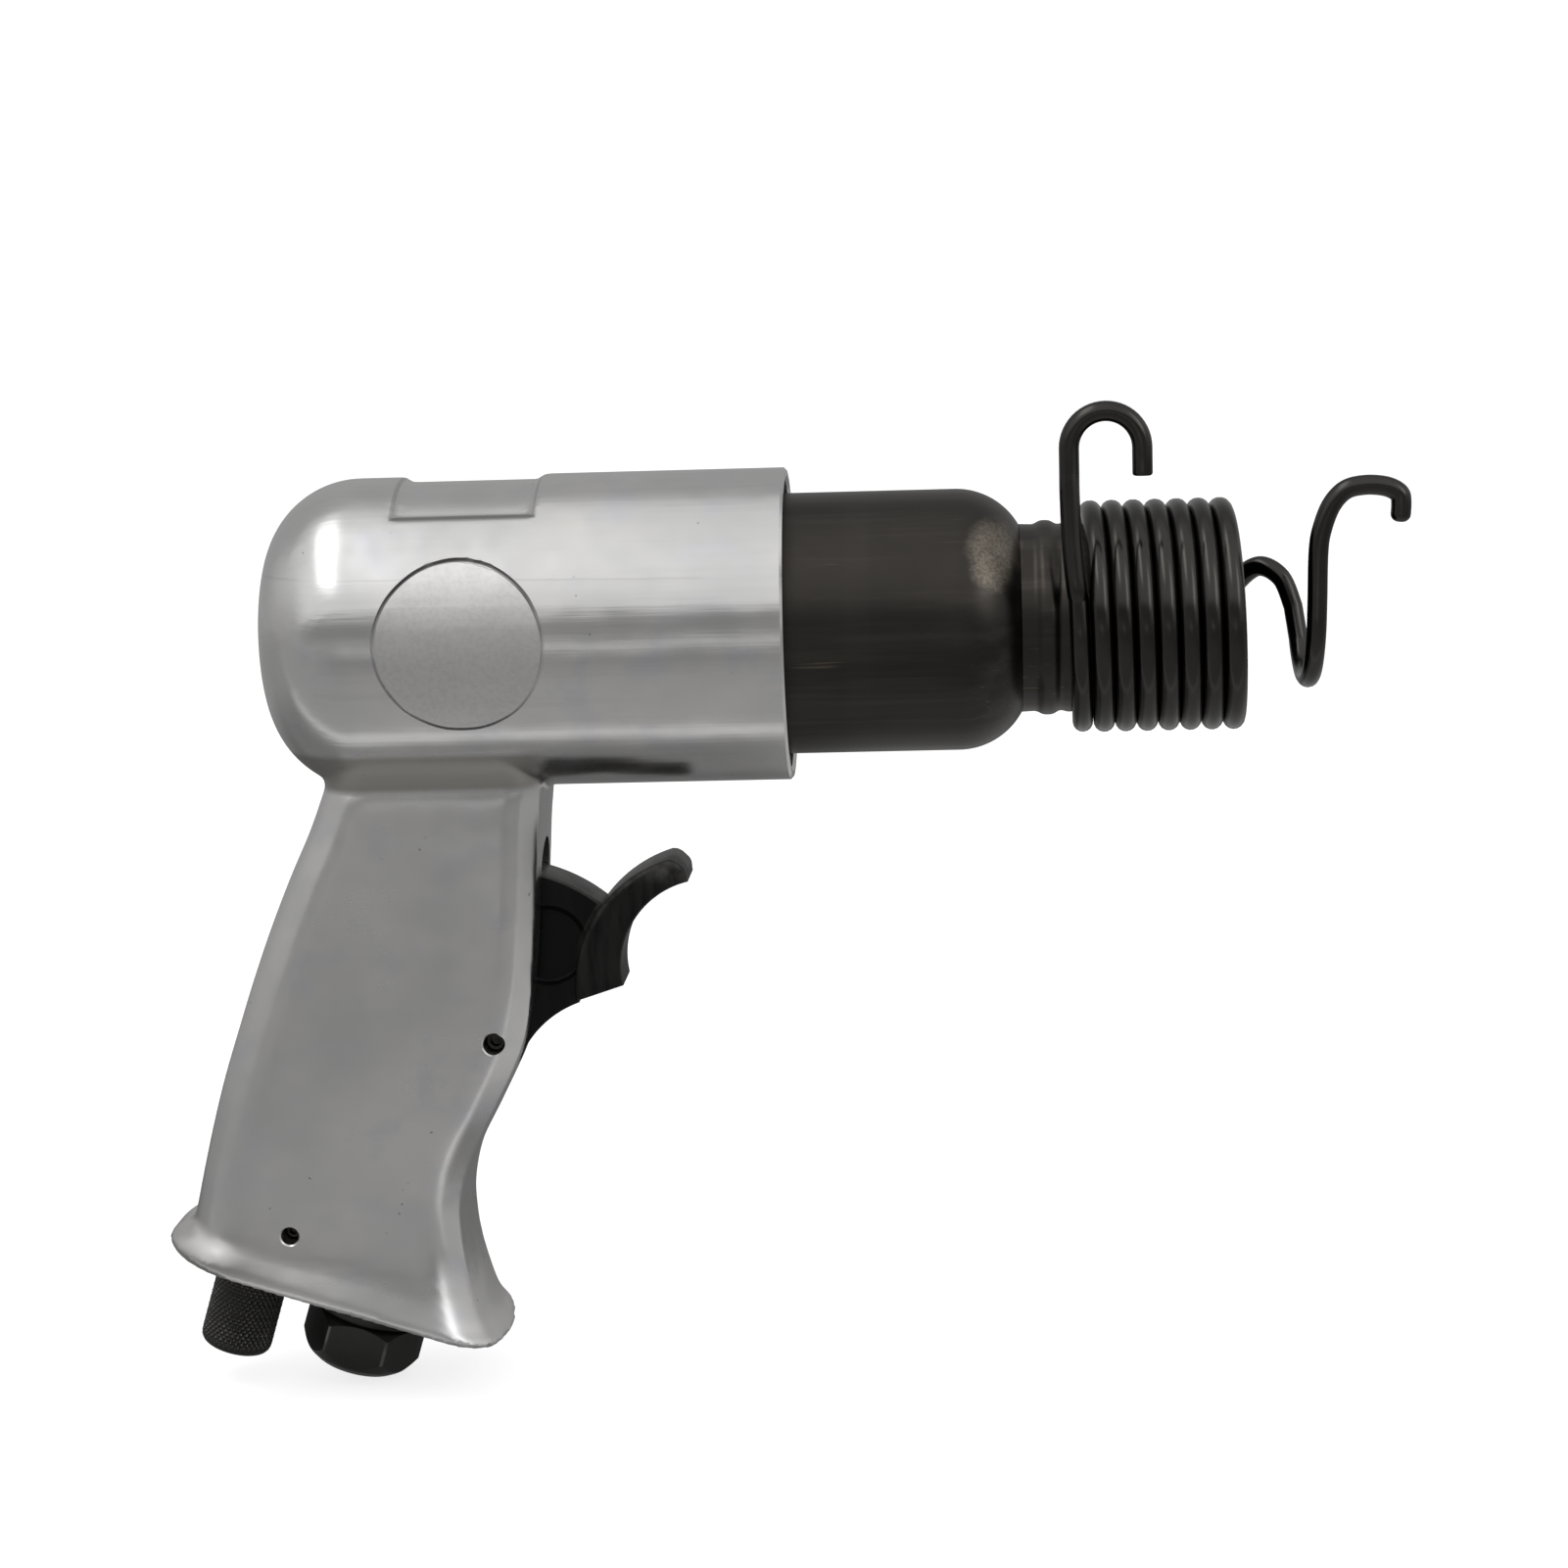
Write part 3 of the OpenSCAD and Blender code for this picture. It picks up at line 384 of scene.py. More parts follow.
def grip_ring(station):
    rear_x, rear_z, front_x, front_z, flare = station
    share = limited(flare)
    run_x, run_z = front_x - rear_x, front_z - rear_z
    long = math.hypot(run_x, run_z)
    low = limited((LOW_FROM_Z - front_z) / LOW_SPAN)
    corner = limited((share - FOOT_FROM) / (1 - FOOT_FROM))
    strap = [a + (b - a) * low + (c - b) * corner
             for a, b, c in zip(TOP_STRAP, LOW_STRAP, FOOT_STRAP)]
    outline = oblong(long, GRIP_HALF + FLARE * flare, strap,
                     BACK_EDGE_R + (BACK_CORNER_R - BACK_EDGE_R) * share,
                     CROWN + (FOOT_CROWN - CROWN) * share)
    return [(RIM_X + rear_x + run_x * a / long, b * (1 + FRONT_FLARE * share * a / long),
             rear_z + run_z * a / long) for a, b in outline]


# The throat's rings, from inside the head down its hollow fillet
hollow_y = THROAT_HALF + THROAT_R
hollow_z = -math.sqrt((HEAD_R + THROAT_R) ** 2 - hollow_y ** 2)
meet_z = hollow_z * HEAD_R / (HEAD_R + THROAT_R)
throat_rings = []
for z in [THROAT_TOP] + [meet_z + (THROAT_END - meet_z) * k / 12 for k in range(13)]:
    inside = max(THROAT_R ** 2 - (z - hollow_z) ** 2, 0)
    half = hollow_y - math.sqrt(inside) if z <= meet_z else hollow_y * HEAD_R / (HEAD_R + THROAT_R)
    outline = oblong(THROAT_LONG, half, TOP_STRAP, BACK_EDGE_R, CROWN)
    throat_rings.append([(RIM_X + THROAT_REAR + a, b, z) for a, b in outline])
rings = throat_rings + [grip_ring(s) for s in smooth_run(STATIONS, 6)]
print("Grip:", len(rings), "rings of", len(rings[0]), "points")


# %% Loft
def loft(rings, name):
    """A filled circle laid on the first ring and extruded to each next one."""
    nothing_selected()
    bpy.ops.mesh.primitive_circle_add(vertices=len(rings[0]), radius=MM, fill_type="NGON")
    piece = bpy.context.object
    mesh = piece.data
    for vertex, place in zip(mesh.vertices, rings[0]):
        vertex.co = Vector(place) * MM
    last = {tuple(v.co): k for k, v in enumerate(mesh.vertices)}
    edit(piece)
    for ring in rings[1:]:
        bpy.ops.mesh.extrude_region_move()
        bpy.ops.object.mode_set(mode="OBJECT")
        now = {}
        for vertex in mesh.vertices:
            if vertex.select:
                k = last[tuple(vertex.co)]
                vertex.co = Vector(ring[k]) * MM
                now[tuple(vertex.co)] = k
        last = now
        bpy.ops.object.mode_set(mode="EDIT")
    clean(merge=0)
    return done(piece, name)


grip = loft(rings, "grip")
tell("Loft", grip)

# %% [markdown]
# ## The casting: panel in the top
# A shallow panel is sunk in the top of the head. A ring one panel deep is spun, and only its
# top is kept with a bisection. Its ends slope, because they blend softly into the head.

# %% Sunk panel
PANEL_FRONT, PANEL_BACK, PANEL_LOW, PANEL_DEPTH = RIM_X - 40.3, RIM_X - 63.6, 20.0, 0.85
panel_r = HEAD_R - PANEL_DEPTH
panel = turned([(PANEL_BACK + 0.5, panel_r), (PANEL_FRONT - 0.9, panel_r),
                (PANEL_FRONT + 1.5, HEAD_R + 1), (PANEL_BACK - 0.6, HEAD_R + 1),
                (PANEL_BACK + 0.5, panel_r)], HEAD_STEPS, "panel")
edit(panel)
bpy.ops.mesh.bisect(plane_co=(0, 0, PANEL_LOW * MM), plane_no=(0, 0, 1), use_fill=True,
                    clear_inner=True)
panel = done(panel, "panel")
tell("Panel", panel)

# %% [markdown]
# ## The casting: one skin
# On a casting no edge between head, throat and grip is sharp. The solids are joined, and a voxel
# remesh gives them one even skin. A few rounds of smoothing then soften every edge by less than
# a millimetre, which a bevel could not do along seams that are hardly an edge at all.

# %% Join and soften
combine(casting, grip, "UNION")
combine(casting, panel, "DIFFERENCE")
# Much finer, and the casting would pass 200,000 triangles
VOXEL = 0.63
modify(casting, "REMESH", mode="VOXEL", voxel_size=VOXEL * MM, adaptivity=0)
modify(casting, "SMOOTH", factor=0.5, iterations=4)
tell("Skin", casting)

# %% [markdown]
# ## The casting: machined openings
# What was turned, bored and milled after casting has crisp edges, so it is cut last. The skirt,
# the barrel's seat and the valve chest are one stepped bore, and the same cutter faces off the
# rim with its chamfers.

# %% Stepped bore
CHAMFER, AIR_END_X, AIR_R, SEAT_R = 0.45, -132.1, 9, 20.05
bore = turned([(AIR_END_X, 0), (AIR_END_X, AIR_R), (CHEST_X, AIR_R), (CHEST_X, SEAT_R),
               (SKIRT_FLOOR_X, SEAT_R), (SKIRT_FLOOR_X, SKIRT_R), (RIM_X - CHAMFER, SKIRT_R),
               (RIM_X, SKIRT_R + CHAMFER), (RIM_X, HEAD_R - CHAMFER),
               (RIM_X - CHAMFER, HEAD_R + 0.02), (RIM_X - CHAMFER, HEAD_R + 3),
               (RIM_X + 6, HEAD_R + 3), (RIM_X + 6, 0)], HEAD_STEPS)
cut(casting, bore)
tell("Bored", casting)

# %% [markdown]
# A thin groove marks the flush disc on the left side. Its cutter is a tube across the tool,
# kept only within 0.6 mm of the head's surface, so that the groove has one depth all
# the way round.

# %% Disc groove
DISC_X, DISC_R, GROOVE_W, GROOVE_DEPTH = RIM_X - 52.2, 13.7, 0.62, 0.6
NICKS, NICK_WIDTH, NICK_DEPTH = (97, 106, 70, 112), 2.2, 0.16
inner_r, outer_r, clear_x = DISC_R - GROOVE_W / 2, DISC_R + GROOVE_W / 2, -HEAD_R - 4
groove = turned([(-4, inner_r), (clear_x, inner_r), (clear_x, outer_r), (-4, outer_r),
                 (-4, inner_r)], 160)
# Its walls are moved a little: wider at the top, uneven all round, and nicked at a few angles
for vertex in groove.data.vertices:
    x, y, z = vertex.co
    r, turn = math.hypot(y, z), math.atan2(z, y)
    out = 1 if r > DISC_R * MM else -1
    top, right_side = max(0, math.sin(turn)), max(0, -math.cos(turn))
    shift = out * (0.12 * top - 0.08 - 0.08 * right_side * (1 - top))
    shift += 0.04 * math.sin(5 * turn + 0.7) + 0.03 * math.sin(13 * turn)
    for nick in NICKS:
        shift += out * NICK_DEPTH * math.exp(-((math.degrees(turn) - nick) / NICK_WIDTH) ** 2)
    vertex.co = (x, y * (1 + shift * MM / r), z * (1 + shift * MM / r))
crossing(groove, DISC_X, 0)
core_r = HEAD_R - GROOVE_DEPTH
combine(groove, bar(BACK_X, RIM_X, core_r, HEAD_STEPS), "DIFFERENCE")
cut(casting, groove)
tell("Groove cut", casting)

# %% [markdown]
# The trigger swings in a slot with a rounded top. It is milled from the front, so a plate with a
# rounded end is the cutter.

# %% Trigger slot
SLOT_HALF, SLOT_TOP, SLOT_LOW, STRAP_FRONT = 5.7, 33.3, -5.0, 13.0
WEB_R, WEB_SWING, SLOT_PLAY = 28.1, math.radians(19), 3
slot_back, round_top = -WEB_R * math.sin(WEB_SWING) - SLOT_PLAY, SLOT_TOP - SLOT_HALF
slot_side = [(STRAP_FRONT, SLOT_LOW), (STRAP_FRONT, SLOT_TOP), (slot_back, SLOT_TOP),
             (SLOT_LOW, 0), (SLOT_LOW, SLOT_LOW)]
slot = plate([pin_point(a, b) for a, b in slot_side], SLOT_HALF)
blank_side = [pin_point(a, b) for a, b in [
    (slot_back - 2, SLOT_LOW - 2), (STRAP_FRONT + 2, SLOT_LOW - 2),
    (STRAP_FRONT + 2, round_top), (slot_back - 2, round_top)]]
blank = plate(blank_side, SLOT_HALF + 0.01)
combine(blank, rod(blank_side[3], blank_side[2], SLOT_HALF + 0.005, 64), "UNION")
combine(slot, blank, "INTERSECT")
cut(casting, slot)
tell("Slot cut", casting)

# %% [markdown]
# The air ways, the seats of the throttle, regulator and inlet, and the holes of the two cross
# pins are plain drillings. The pin holes get a small countersink where they break the surface,
# which is measured on the skin itself with a ray.

# %% Drillings
def side_surface(x, z):
    """How far the left side lies from the middle at a place."""
    place = casting.ray_cast(Vector((x, -60, z)) * MM, Vector((0, 1, 0)))[1]
    return -place.y / MM


def pin_hole(x, z, radius):
    reach, sink = side_surface(x, z), 0.25
    half = [(reach + 5, 0), (reach + 5, radius + sink), (reach + 0.02, radius + sink),
            (reach - sink, radius)]
    return crossing(turned(half + [(-s, r) for s, r in reversed(half)], 48), x, z)


THROTTLE_Z, CHAMBER_END, CHAMBER_R, AIR_WAY_R, CROSS_WAY = 14.9, -35.187, 6.05, 2.5, 17
REGULATOR_BORE_R, BUSHING_SEAT_R, INLET_R, PIN_HOLE_R = 6.95, 8.25, 5.7, 1.8
regulator_pin_at = foot_point(REGULATOR_AT + 6.2, 10)
delivery = pin_point(-17.487, THROTTLE_Z)
cut(casting,
    pin_hole(PIN_X, PIN_Z, PIN_HOLE_R),
    pin_hole(*regulator_pin_at, 1.5),
    rod(pin_point(2, THROTTLE_Z), pin_point(CHAMBER_END, THROTTLE_Z), CHAMBER_R),
    rod(delivery, (delivery[0], -3), 3.2),
    rod(foot_point(REGULATOR_AT, 24), pin_point(-30.56, THROTTLE_Z), AIR_WAY_R),
    rod(foot_point(REGULATOR_AT, -3), foot_point(REGULATOR_AT, 26), REGULATOR_BORE_R, 64),
    rod(foot_point(INLET_AT, -3), foot_point(INLET_AT, 12.3), BUSHING_SEAT_R, 64),
    rod(foot_point(INLET_AT, 10), foot_point(INLET_AT, 20), INLET_R),
    rod(foot_point(REGULATOR_AT, CROSS_WAY), foot_point(INLET_AT, CROSS_WAY), AIR_WAY_R))
smooth_faces(casting, 30)
tell("Casting", casting)

# %% [markdown]
# ## Barrel
# The barrel is turned steel, dark and a little worn. Its whole section is drawn as one closed
# outline, bore and outside, with small chamfers and the thread that the retainer spring is wound
# on, and spun. The exhaust ports and an air way are then drilled.

# %% Barrel
BARREL_R, NOSE_R, NOSE_LEN, SHOULDER_R = 21.7, 15.5, 22.9, 12.0
SHANK_R, SHANK_DEPTH, PISTON_R, SEATED_R = 5.15, 22, 9.5, 20
PORT_X, PORT_R, WAY_Z, WAY_R, WAY_END_X = -80, 2, -14.6, 1.6, -33.6
shoulder_x = -NOSE_LEN - math.sqrt(SHOULDER_R ** 2 - (SHOULDER_R - BARREL_R + NOSE_R) ** 2)
drop_angle = math.degrees(math.asin((NOSE_R - BARREL_R + SHOULDER_R) / SHOULDER_R))
outside = [(TAIL_X, PISTON_R + 0.4), (TAIL_X, SEATED_R - 0.4), (TAIL_X + 0.4, SEATED_R),
           (SKIRT_FLOOR_X + 0.3, SEATED_R), (SKIRT_FLOOR_X + 0.3, BARREL_R - 0.4),
           (SKIRT_FLOOR_X + 0.7, BARREL_R)]
outside += arc((shoulder_x, BARREL_R - SHOULDER_R), SHOULDER_R, 90, drop_angle, 28)
outside += rounded([(-NOSE_LEN, NOSE_R + 0.1), (-20.6, NOSE_R), (-19.4, 16.15), (-17.9, 16.15),
                    (-16.6, NOSE_R - 0.1), (-15.4, 15.75), (-14.6, 15.75), (-13.8, 15.3),
                    (-0.8, 15.3), (0, 14.5)], 0.5, 4)
inside = [(0, SHANK_R + 0.6), (-0.6, SHANK_R), (-SHANK_DEPTH, SHANK_R), (-SHANK_DEPTH, PISTON_R),
          (TAIL_X + 0.4, PISTON_R), (TAIL_X, PISTON_R + 0.4)]
barrel = turned(outside + inside, 160, "steel_barrel")
for turn in (45, 135, 225, 315):
    port = bar(0, 30, PORT_R, 32)
    a = math.radians(turn)
    outwards = Vector((0, -math.sin(a), math.cos(a)))
    placed(port, (outwards, (1, 0, 0), outwards.cross(Vector((1, 0, 0)))), (PORT_X, 0, 0))
    cut(barrel, port)
cut(barrel, rod((TAIL_X - 1, WAY_Z), (WAY_END_X + WAY_R, WAY_Z), WAY_R, 32),
    rod((WAY_END_X, WAY_Z), (WAY_END_X, -4.75), WAY_R, 32))
smooth_faces(barrel, 28)
tell("Barrel", barrel)

# %% [markdown]
# ## Retainer spring
# One wire makes the rear hook, the coils, the loop in front of the shank bore and the thumb
# hook. A curve with a round bevel is the natural tool: its points are the wire's middle line.
# It is turned into a mesh, and the cut ends of the wire get a small round.

# %% Wire route
WIRE_R, COIL_R, PITCH, TURNS, COIL_BACK = 1.64, 17.45, 3.56, 7, 13.7
LOOP_R, ARCH_R, ARCH_Z, REAR_END_Z = 11.0, 5.85, 28.66, 24.05
LEG_X, LEG_Y = -COIL_BACK - 1.3, 0.9 - COIL_R
ARCH_X = LEG_X + ARCH_R
COIL_END = -COIL_BACK + (TURNS + 0.5) * PITCH
LOOP_X = COIL_END + 11.7
COIL_STEPS, HOOK_STEPS, COIL_SWELL, SWELL_RUN = 48, 8, 0.10, 26
FRONT_ROUND, REAR_ROUND = 1.3, 0.5

rear_end = [(ARCH_X + ARCH_R, LEG_Y, REAR_END_Z), (ARCH_X + ARCH_R, LEG_Y, ARCH_Z - 1.4)]
rear_arch = [(ARCH_X + x, LEG_Y, ARCH_Z + z) for x, z in arc((0, 0), ARCH_R, 0, 180, 28)]
rear_leg = smooth_run([
    (LEG_X, LEG_Y - 0.1, ARCH_Z - 4),
    (LEG_X, LEG_Y - 0.4, 21),
    (LEG_X + 0.25, LEG_Y - 0.75, 13),
    (-COIL_BACK - 0.5, -COIL_R, 6.5),
    (-COIL_BACK - PITCH / 24, -COIL_R * math.cos(math.radians(15)),
     COIL_R * math.sin(math.radians(15)))], HOOK_STEPS)
coils = []
for k in range(int((TURNS + 0.5) * COIL_STEPS)):
    a = 2 * math.pi * k / COIL_STEPS
    coils.append((PITCH * k / COIL_STEPS - COIL_BACK, -COIL_R * math.cos(a),
                  -COIL_R * math.sin(a)))
front_hook = smooth_run([
    (COIL_END, COIL_R, 0),
    (COIL_END + 1.2, COIL_R - 1.4, 3.6),
    (COIL_END + 4.8, COIL_R - 3.9, 6.5),
    (COIL_END + 8.4, COIL_R - 5.5, 4.6),
    (COIL_END + 10.3, LOOP_R, -0.2)], HOOK_STEPS)
shank_loop = [(LOOP_X + 0.2 - 0.9 * (180 - a) / 150, LOOP_R * math.cos(math.radians(a)),
               -LOOP_R * math.sin(math.radians(a))) for a in range(30, 181, 6)]
thumb_hook = smooth_run([
    (LOOP_X + 0.3, -LOOP_R, 3.5),
    (LOOP_X + 0.5, -LOOP_R, 10.8),
    (LOOP_X + 1.1, -LOOP_R, 14.4),
    (LOOP_X + 2.6, -LOOP_R, 18.2),
    (LOOP_X + 4.9, -LOOP_R, 20.6),
    (LOOP_X + 8, -LOOP_R, 21.3),
    (LOOP_X + 11.3, -LOOP_R, 21),
    (LOOP_X + 13.4, -LOOP_R, 19.9),
    (LOOP_X + 13.8, -LOOP_R, 18.4),
    (LOOP_X + 13.6, -LOOP_R, 15.2)], HOOK_STEPS)
wire_route = rear_end + rear_arch + rear_leg + coils + front_hook + shank_loop + thumb_hook
print("Wire:", len(wire_route), "points")


# %% Wire
def wire(route, radius, sides, name, swell):
    nothing_selected()
    bpy.ops.curve.primitive_bezier_curve_add()
    piece = bpy.context.object
    curve = piece.data
    curve.splines.clear()
    spline = curve.splines.new("POLY")
    spline.points.add(len(route) - 1)
    for point, place, share in zip(spline.points, route, swell):
        point.co = (*[v * MM for v in place], 1)
        point.radius = share
    curve.dimensions = "3D"
    curve.bevel_depth = radius * MM
    curve.bevel_resolution = sides // 2 - 2
    curve.use_fill_caps = True
    only(piece)
    bpy.ops.object.convert(target="MESH")
    piece = bpy.context.object
    edit(piece)
    clean()
    return done(piece, name)


def rounded_tip(places, edge):
    """A list of places and wire radii, with the wire's last stretch rounded."""
    tip = Vector(places[-1][0])
    kept = [p for p in places if (Vector(p[0]) - tip).length > edge + 0.05]
    along = (tip - Vector(kept[-1][0])).normalized()
    for k in range(7):
        a = math.radians(14 * k)
        kept.append((tuple(tip - edge * (1 - math.sin(a)) * along),
                     1 - (1 - math.cos(a)) * edge / WIRE_R))
    return kept


first_coil = len(rear_end + rear_arch + rear_leg)
last_coil = len(wire_route) - len(front_hook + shank_loop + thumb_hook)
places = [(place, 1 + COIL_SWELL * limited(min(k - first_coil, last_coil + SWELL_RUN - k)
                                           / SWELL_RUN))
          for k, place in enumerate(wire_route)]
places = rounded_tip(rounded_tip(places, FRONT_ROUND)[::-1], REAR_ROUND)[::-1]
wire_route, swell = zip(*places)
retainer = smooth_faces(wire(wire_route, WIRE_R, 16, "wire_retainer", swell), 40)
tell("Retainer spring", retainer)

# %% [markdown]
# ## Trigger
# The trigger is a flat web that swings in the slot, with a shallow round pocket in each side,
# and a wider curved hook for the finger. Both are drawn as flat outlines made of arcs and
# extruded, because their side view is the shape that matters. The finger's side is hollowed
# with a turned cutter that flares at the edges.

# %% Trigger
HOOK_AT, HOOK_OUT_R, FINGER_AT, FINGER_R = (34.6, 11.3), 22.6, (34.5, 14.5), 15.0
HOOK_FROM, HOOK_TO, BOSS_R = 112.5, 191.55, 4.0
UNDER_AT, UNDER_R, UNDER_END = (20.3, -9.7), 17.6, (3.94, -3.21)
WEB_HALF, HOOK_HALF, FINGER_EDGE = 5.3, 6.5, 0.95
POCKET_AT, POCKET_R, POCKET_DEPTH = (6.85, 15.55), 6.45, 1.3


def meet(c1, r1, c2, r2, side):
    """Where two circles meet: side picks the left or right meeting point from c1 to c2."""
    gap = Vector(c2) - Vector(c1)
    d = gap.length
    along = (r1 ** 2 - r2 ** 2 + d ** 2) / (2 * d)
    off = math.sqrt(r1 ** 2 - along ** 2)
    unit = gap / d
    return Vector(c1) + along * unit + side * off * Vector((-unit.y, unit.x))


def angle_of(point, centre):
    return math.degrees(math.atan2(point[1] - centre[1], point[0] - centre[0])) % 360


edge_r = HOOK_OUT_R - 0.3
upper = meet((0, 0), WEB_R, HOOK_AT, edge_r, 1)
lower = meet(HOOK_AT, edge_r, UNDER_AT, UNDER_R, -1)
web_side = (arc((0, 0), WEB_R, 95, angle_of(upper, (0, 0)), 24)
            + arc(HOOK_AT, edge_r, angle_of(upper, HOOK_AT), angle_of(lower, HOOK_AT), 16)[1:]
            + arc(UNDER_AT, UNDER_R, angle_of(lower, UNDER_AT), angle_of(UNDER_END, UNDER_AT),
                  16)[1:]
            + [(0, -BOSS_R)] + arc((0, 0), BOSS_R, 262, 180, 8) + [(-0.45, 5.3)])
print("Web meets the hook at", [round(v, 2) for v in upper], [round(v, 2) for v in lower])
web = plate([pin_point(a, b) for a, b in web_side], WEB_HALF, "trigger_lever", 0.45)
for side in (-1, 1):
    pocket = turned([(0, 0), (0, POCKET_R - 0.5), (0.3, POCKET_R - 0.15),
                     (POCKET_DEPTH - 0.5, POCKET_R), (POCKET_DEPTH + 0.1, POCKET_R + 0.6),
                     (3, POCKET_R + 0.6), (3, 0)], 96)
    x, z = pin_point(*POCKET_AT)
    floor_y = side * (WEB_HALF - POCKET_DEPTH)
    placed(pocket, ((0, side, 0), (0, 0, side), (1, 0, 0)), (x, floor_y, z))
    cut(web, pocket)
hook_side = (arc(HOOK_AT, HOOK_OUT_R, HOOK_FROM, HOOK_TO, 28)
             + rounded([(13.4, 7.05), (20.5, 10.2), (26, 16)], 0.6)
             + rounded([(30.6, 26), (29.6, 28.7), (29.3, 30.6), (27.6, 31.9)], 1.2)
             + [(26.8, 32.2)])
hook = plate([pin_point(a, b) for a, b in hook_side], HOOK_HALF, "hook", 0.75, 4)
flare_y = HOOK_HALF - 0.8 * FINGER_EDGE
flare = [(-8, FINGER_R + FINGER_EDGE)]
flare += arc((-flare_y, FINGER_R + FINGER_EDGE), FINGER_EDGE, 180, 270, 8)
flare += [(-s, r) for s, r in reversed(flare)]
finger = turned([(-8, 0)] + flare + [(8, 0)], 128)
cut(hook, crossing(finger, *pin_point(*FINGER_AT)))
combine(web, hook, "UNION")
cut(web, crossing(bar(-9, 9, PIN_HOLE_R, 48), PIN_X, PIN_Z))
trigger = smooth_faces(web, 30)
tell("Trigger", trigger)

# %% [markdown]
# ## Cross pins
# Two pins are pressed in from the side and lie below the surface. They are turned, with
# chamfered and drilled ends, and their steel is painted near black as shade in the holes, so that
# the holes read dark, as they do on the real tool.

# %% Pins
def cross_pin(radius, half, x, z, name):
    end = [(half - 1.6, 0), (half - 1.2, radius * 0.5), (half, radius * 0.55),
           (half, radius - 0.3), (half - 0.3, radius)]
    outline = [(-s, r) for s, r in end] + list(reversed(end))
    return smooth_faces(crossing(turned(outline, 48, name), x, z), 30)


trigger_pin = cross_pin(1.75, 11.5, PIN_X, PIN_Z, "trigger_cross_pin")
regulator_pin = cross_pin(1.45, 11.5, *regulator_pin_at, "regulator_cross_pin")
print("Pins:", len(trigger_pin.data.polygons), "and", len(regulator_pin.data.polygons), "faces")

# %% [markdown]
# ## Regulator
# The regulator's knob has a diamond knurl. The knob is spun with many rings, and every vertex is
# then pressed in along two crossing sets of grooves. That gives real pyramids, which catch the
# light in a way that a bump pattern doesn't at the knob's outline.

# %% Regulator
KNOB_R, KNOB_TOP, KNOB_LEN, KNURLS, KNURL_DEPTH, KNURL_ROWS = 6.2, -2.6, 14.2, 38, 0.36, 74
SPOOL_R, NECK_R, KNOB_END_R = 6.9, 5.2, 1.9
spool = rounded([(24, 0), (24, SPOOL_R), (13.5, SPOOL_R), (11.7, SPOOL_R), (11.6, NECK_R),
                 (8.4, NECK_R), (8.3, SPOOL_R), (5.5, SPOOL_R), (5.5, 5.4), (3.5, 5.4),
                 (3.5, SPOOL_R), (0.3, SPOOL_R), (0.3, NECK_R), (KNOB_TOP + 0.01, NECK_R)],
                0.25, 2)
knurl_end = KNOB_TOP - KNOB_LEN + KNOB_END_R
knob_side = [(KNOB_TOP, NECK_R + 0.05), (KNOB_TOP, KNOB_R - 0.35), (KNOB_TOP - 0.35, KNOB_R)]
knob_side += [(KNOB_TOP - 0.5 + (knurl_end - KNOB_TOP + 0.5) * k / KNURL_ROWS, KNOB_R)
              for k in range(KNURL_ROWS + 1)]
knob_side += arc((knurl_end, KNOB_R - KNOB_END_R), KNOB_END_R, 90, 180, 8)[1:]
knob_side += [(KNOB_TOP - KNOB_LEN, 3.0), (KNOB_TOP - KNOB_LEN + 0.5, 2.6),
              (KNOB_TOP - KNOB_LEN + 0.5, 0)]
regulator = turned(spool + knob_side, 7 * KNURLS, "regulator_knob")
for vertex in regulator.data.vertices:
    x, y, z = vertex.co / MM
    r = math.hypot(y, z)
    if x < KNOB_TOP - 0.45 and r > KNOB_R - 1.0:
        turn = math.atan2(y, z) / (2 * math.pi) * KNURLS
        row = x / (2 * math.pi * KNOB_R / KNURLS) * 0.85
        ridge = [1 - abs(2 * ((turn + way * row) % 1) - 1) for way in (-1, 1)]
        depth = KNURL_DEPTH * (1 - min(ridge[0], ridge[1], 0.8) / 0.8)
        share = limited((x - knurl_end + 1.3) / 1.3)
        vertex.co = Vector((x, y * (r - depth * share) / r, z * (r - depth * share) / r)) * MM
cut(regulator, bar(17, 30, 2.4, 32))
smooth_faces(on_foot(regulator, REGULATOR_AT), 26)
tell("Regulator", regulator)

# %% [markdown]
# ## Inlet bushing
# The bushing screws into the foot: a round collar, then a hexagon with its corners chamfered,
# and the air line's thread inside. The hexagon is a six sided cylinder that a turned blank
# trims, exactly as a lathe chamfers hexagon bar. The thread is a small outline run through the
# Screw modifier.

# %% Inlet bushing
COLLAR_R, SEAL_T, COLLAR_LEN, HEX_LEN, HEX_FLATS = 9.5, 1.0, 2.9, 9.6, 18.0
THREAD_TURNS, THREAD_PITCH, THREAD_STEPS = 7, 1.41, 48
hex_top = -SEAL_T - COLLAR_LEN
hex_end = hex_top - HEX_LEN
half_flats, corner = HEX_FLATS / 2, HEX_FLATS / math.sqrt(3)
hexagon = turned([(hex_top, 0), (hex_top, corner), (hex_end, corner), (hex_end, 0)], 6, "hexagon")
edit(hexagon)
bpy.ops.object.mode_set(mode="OBJECT")
for e in hexagon.data.edges:
    a, b = (hexagon.data.vertices[i].co for i in e.vertices)
    e.select = abs((a - b).x) > 0.001
bpy.ops.object.mode_set(mode="EDIT")
bpy.ops.mesh.select_mode(type="EDGE")
bpy.ops.mesh.bevel(offset=0.17 * MM, segments=2, affect="EDGES")
nothing_selected()
blank = turned(rounded([(hex_top, 0), (hex_top, half_flats - 0.7), (hex_top - 1.9, corner + 0.2),
                        (hex_end + 4.0, corner + 0.2), (hex_end + 1.3, half_flats - 0.3),
                        (hex_end, half_flats - 2.2), (hex_end, 0)], 0.5, 3), 128)
combine(hexagon, blank, "INTERSECT")
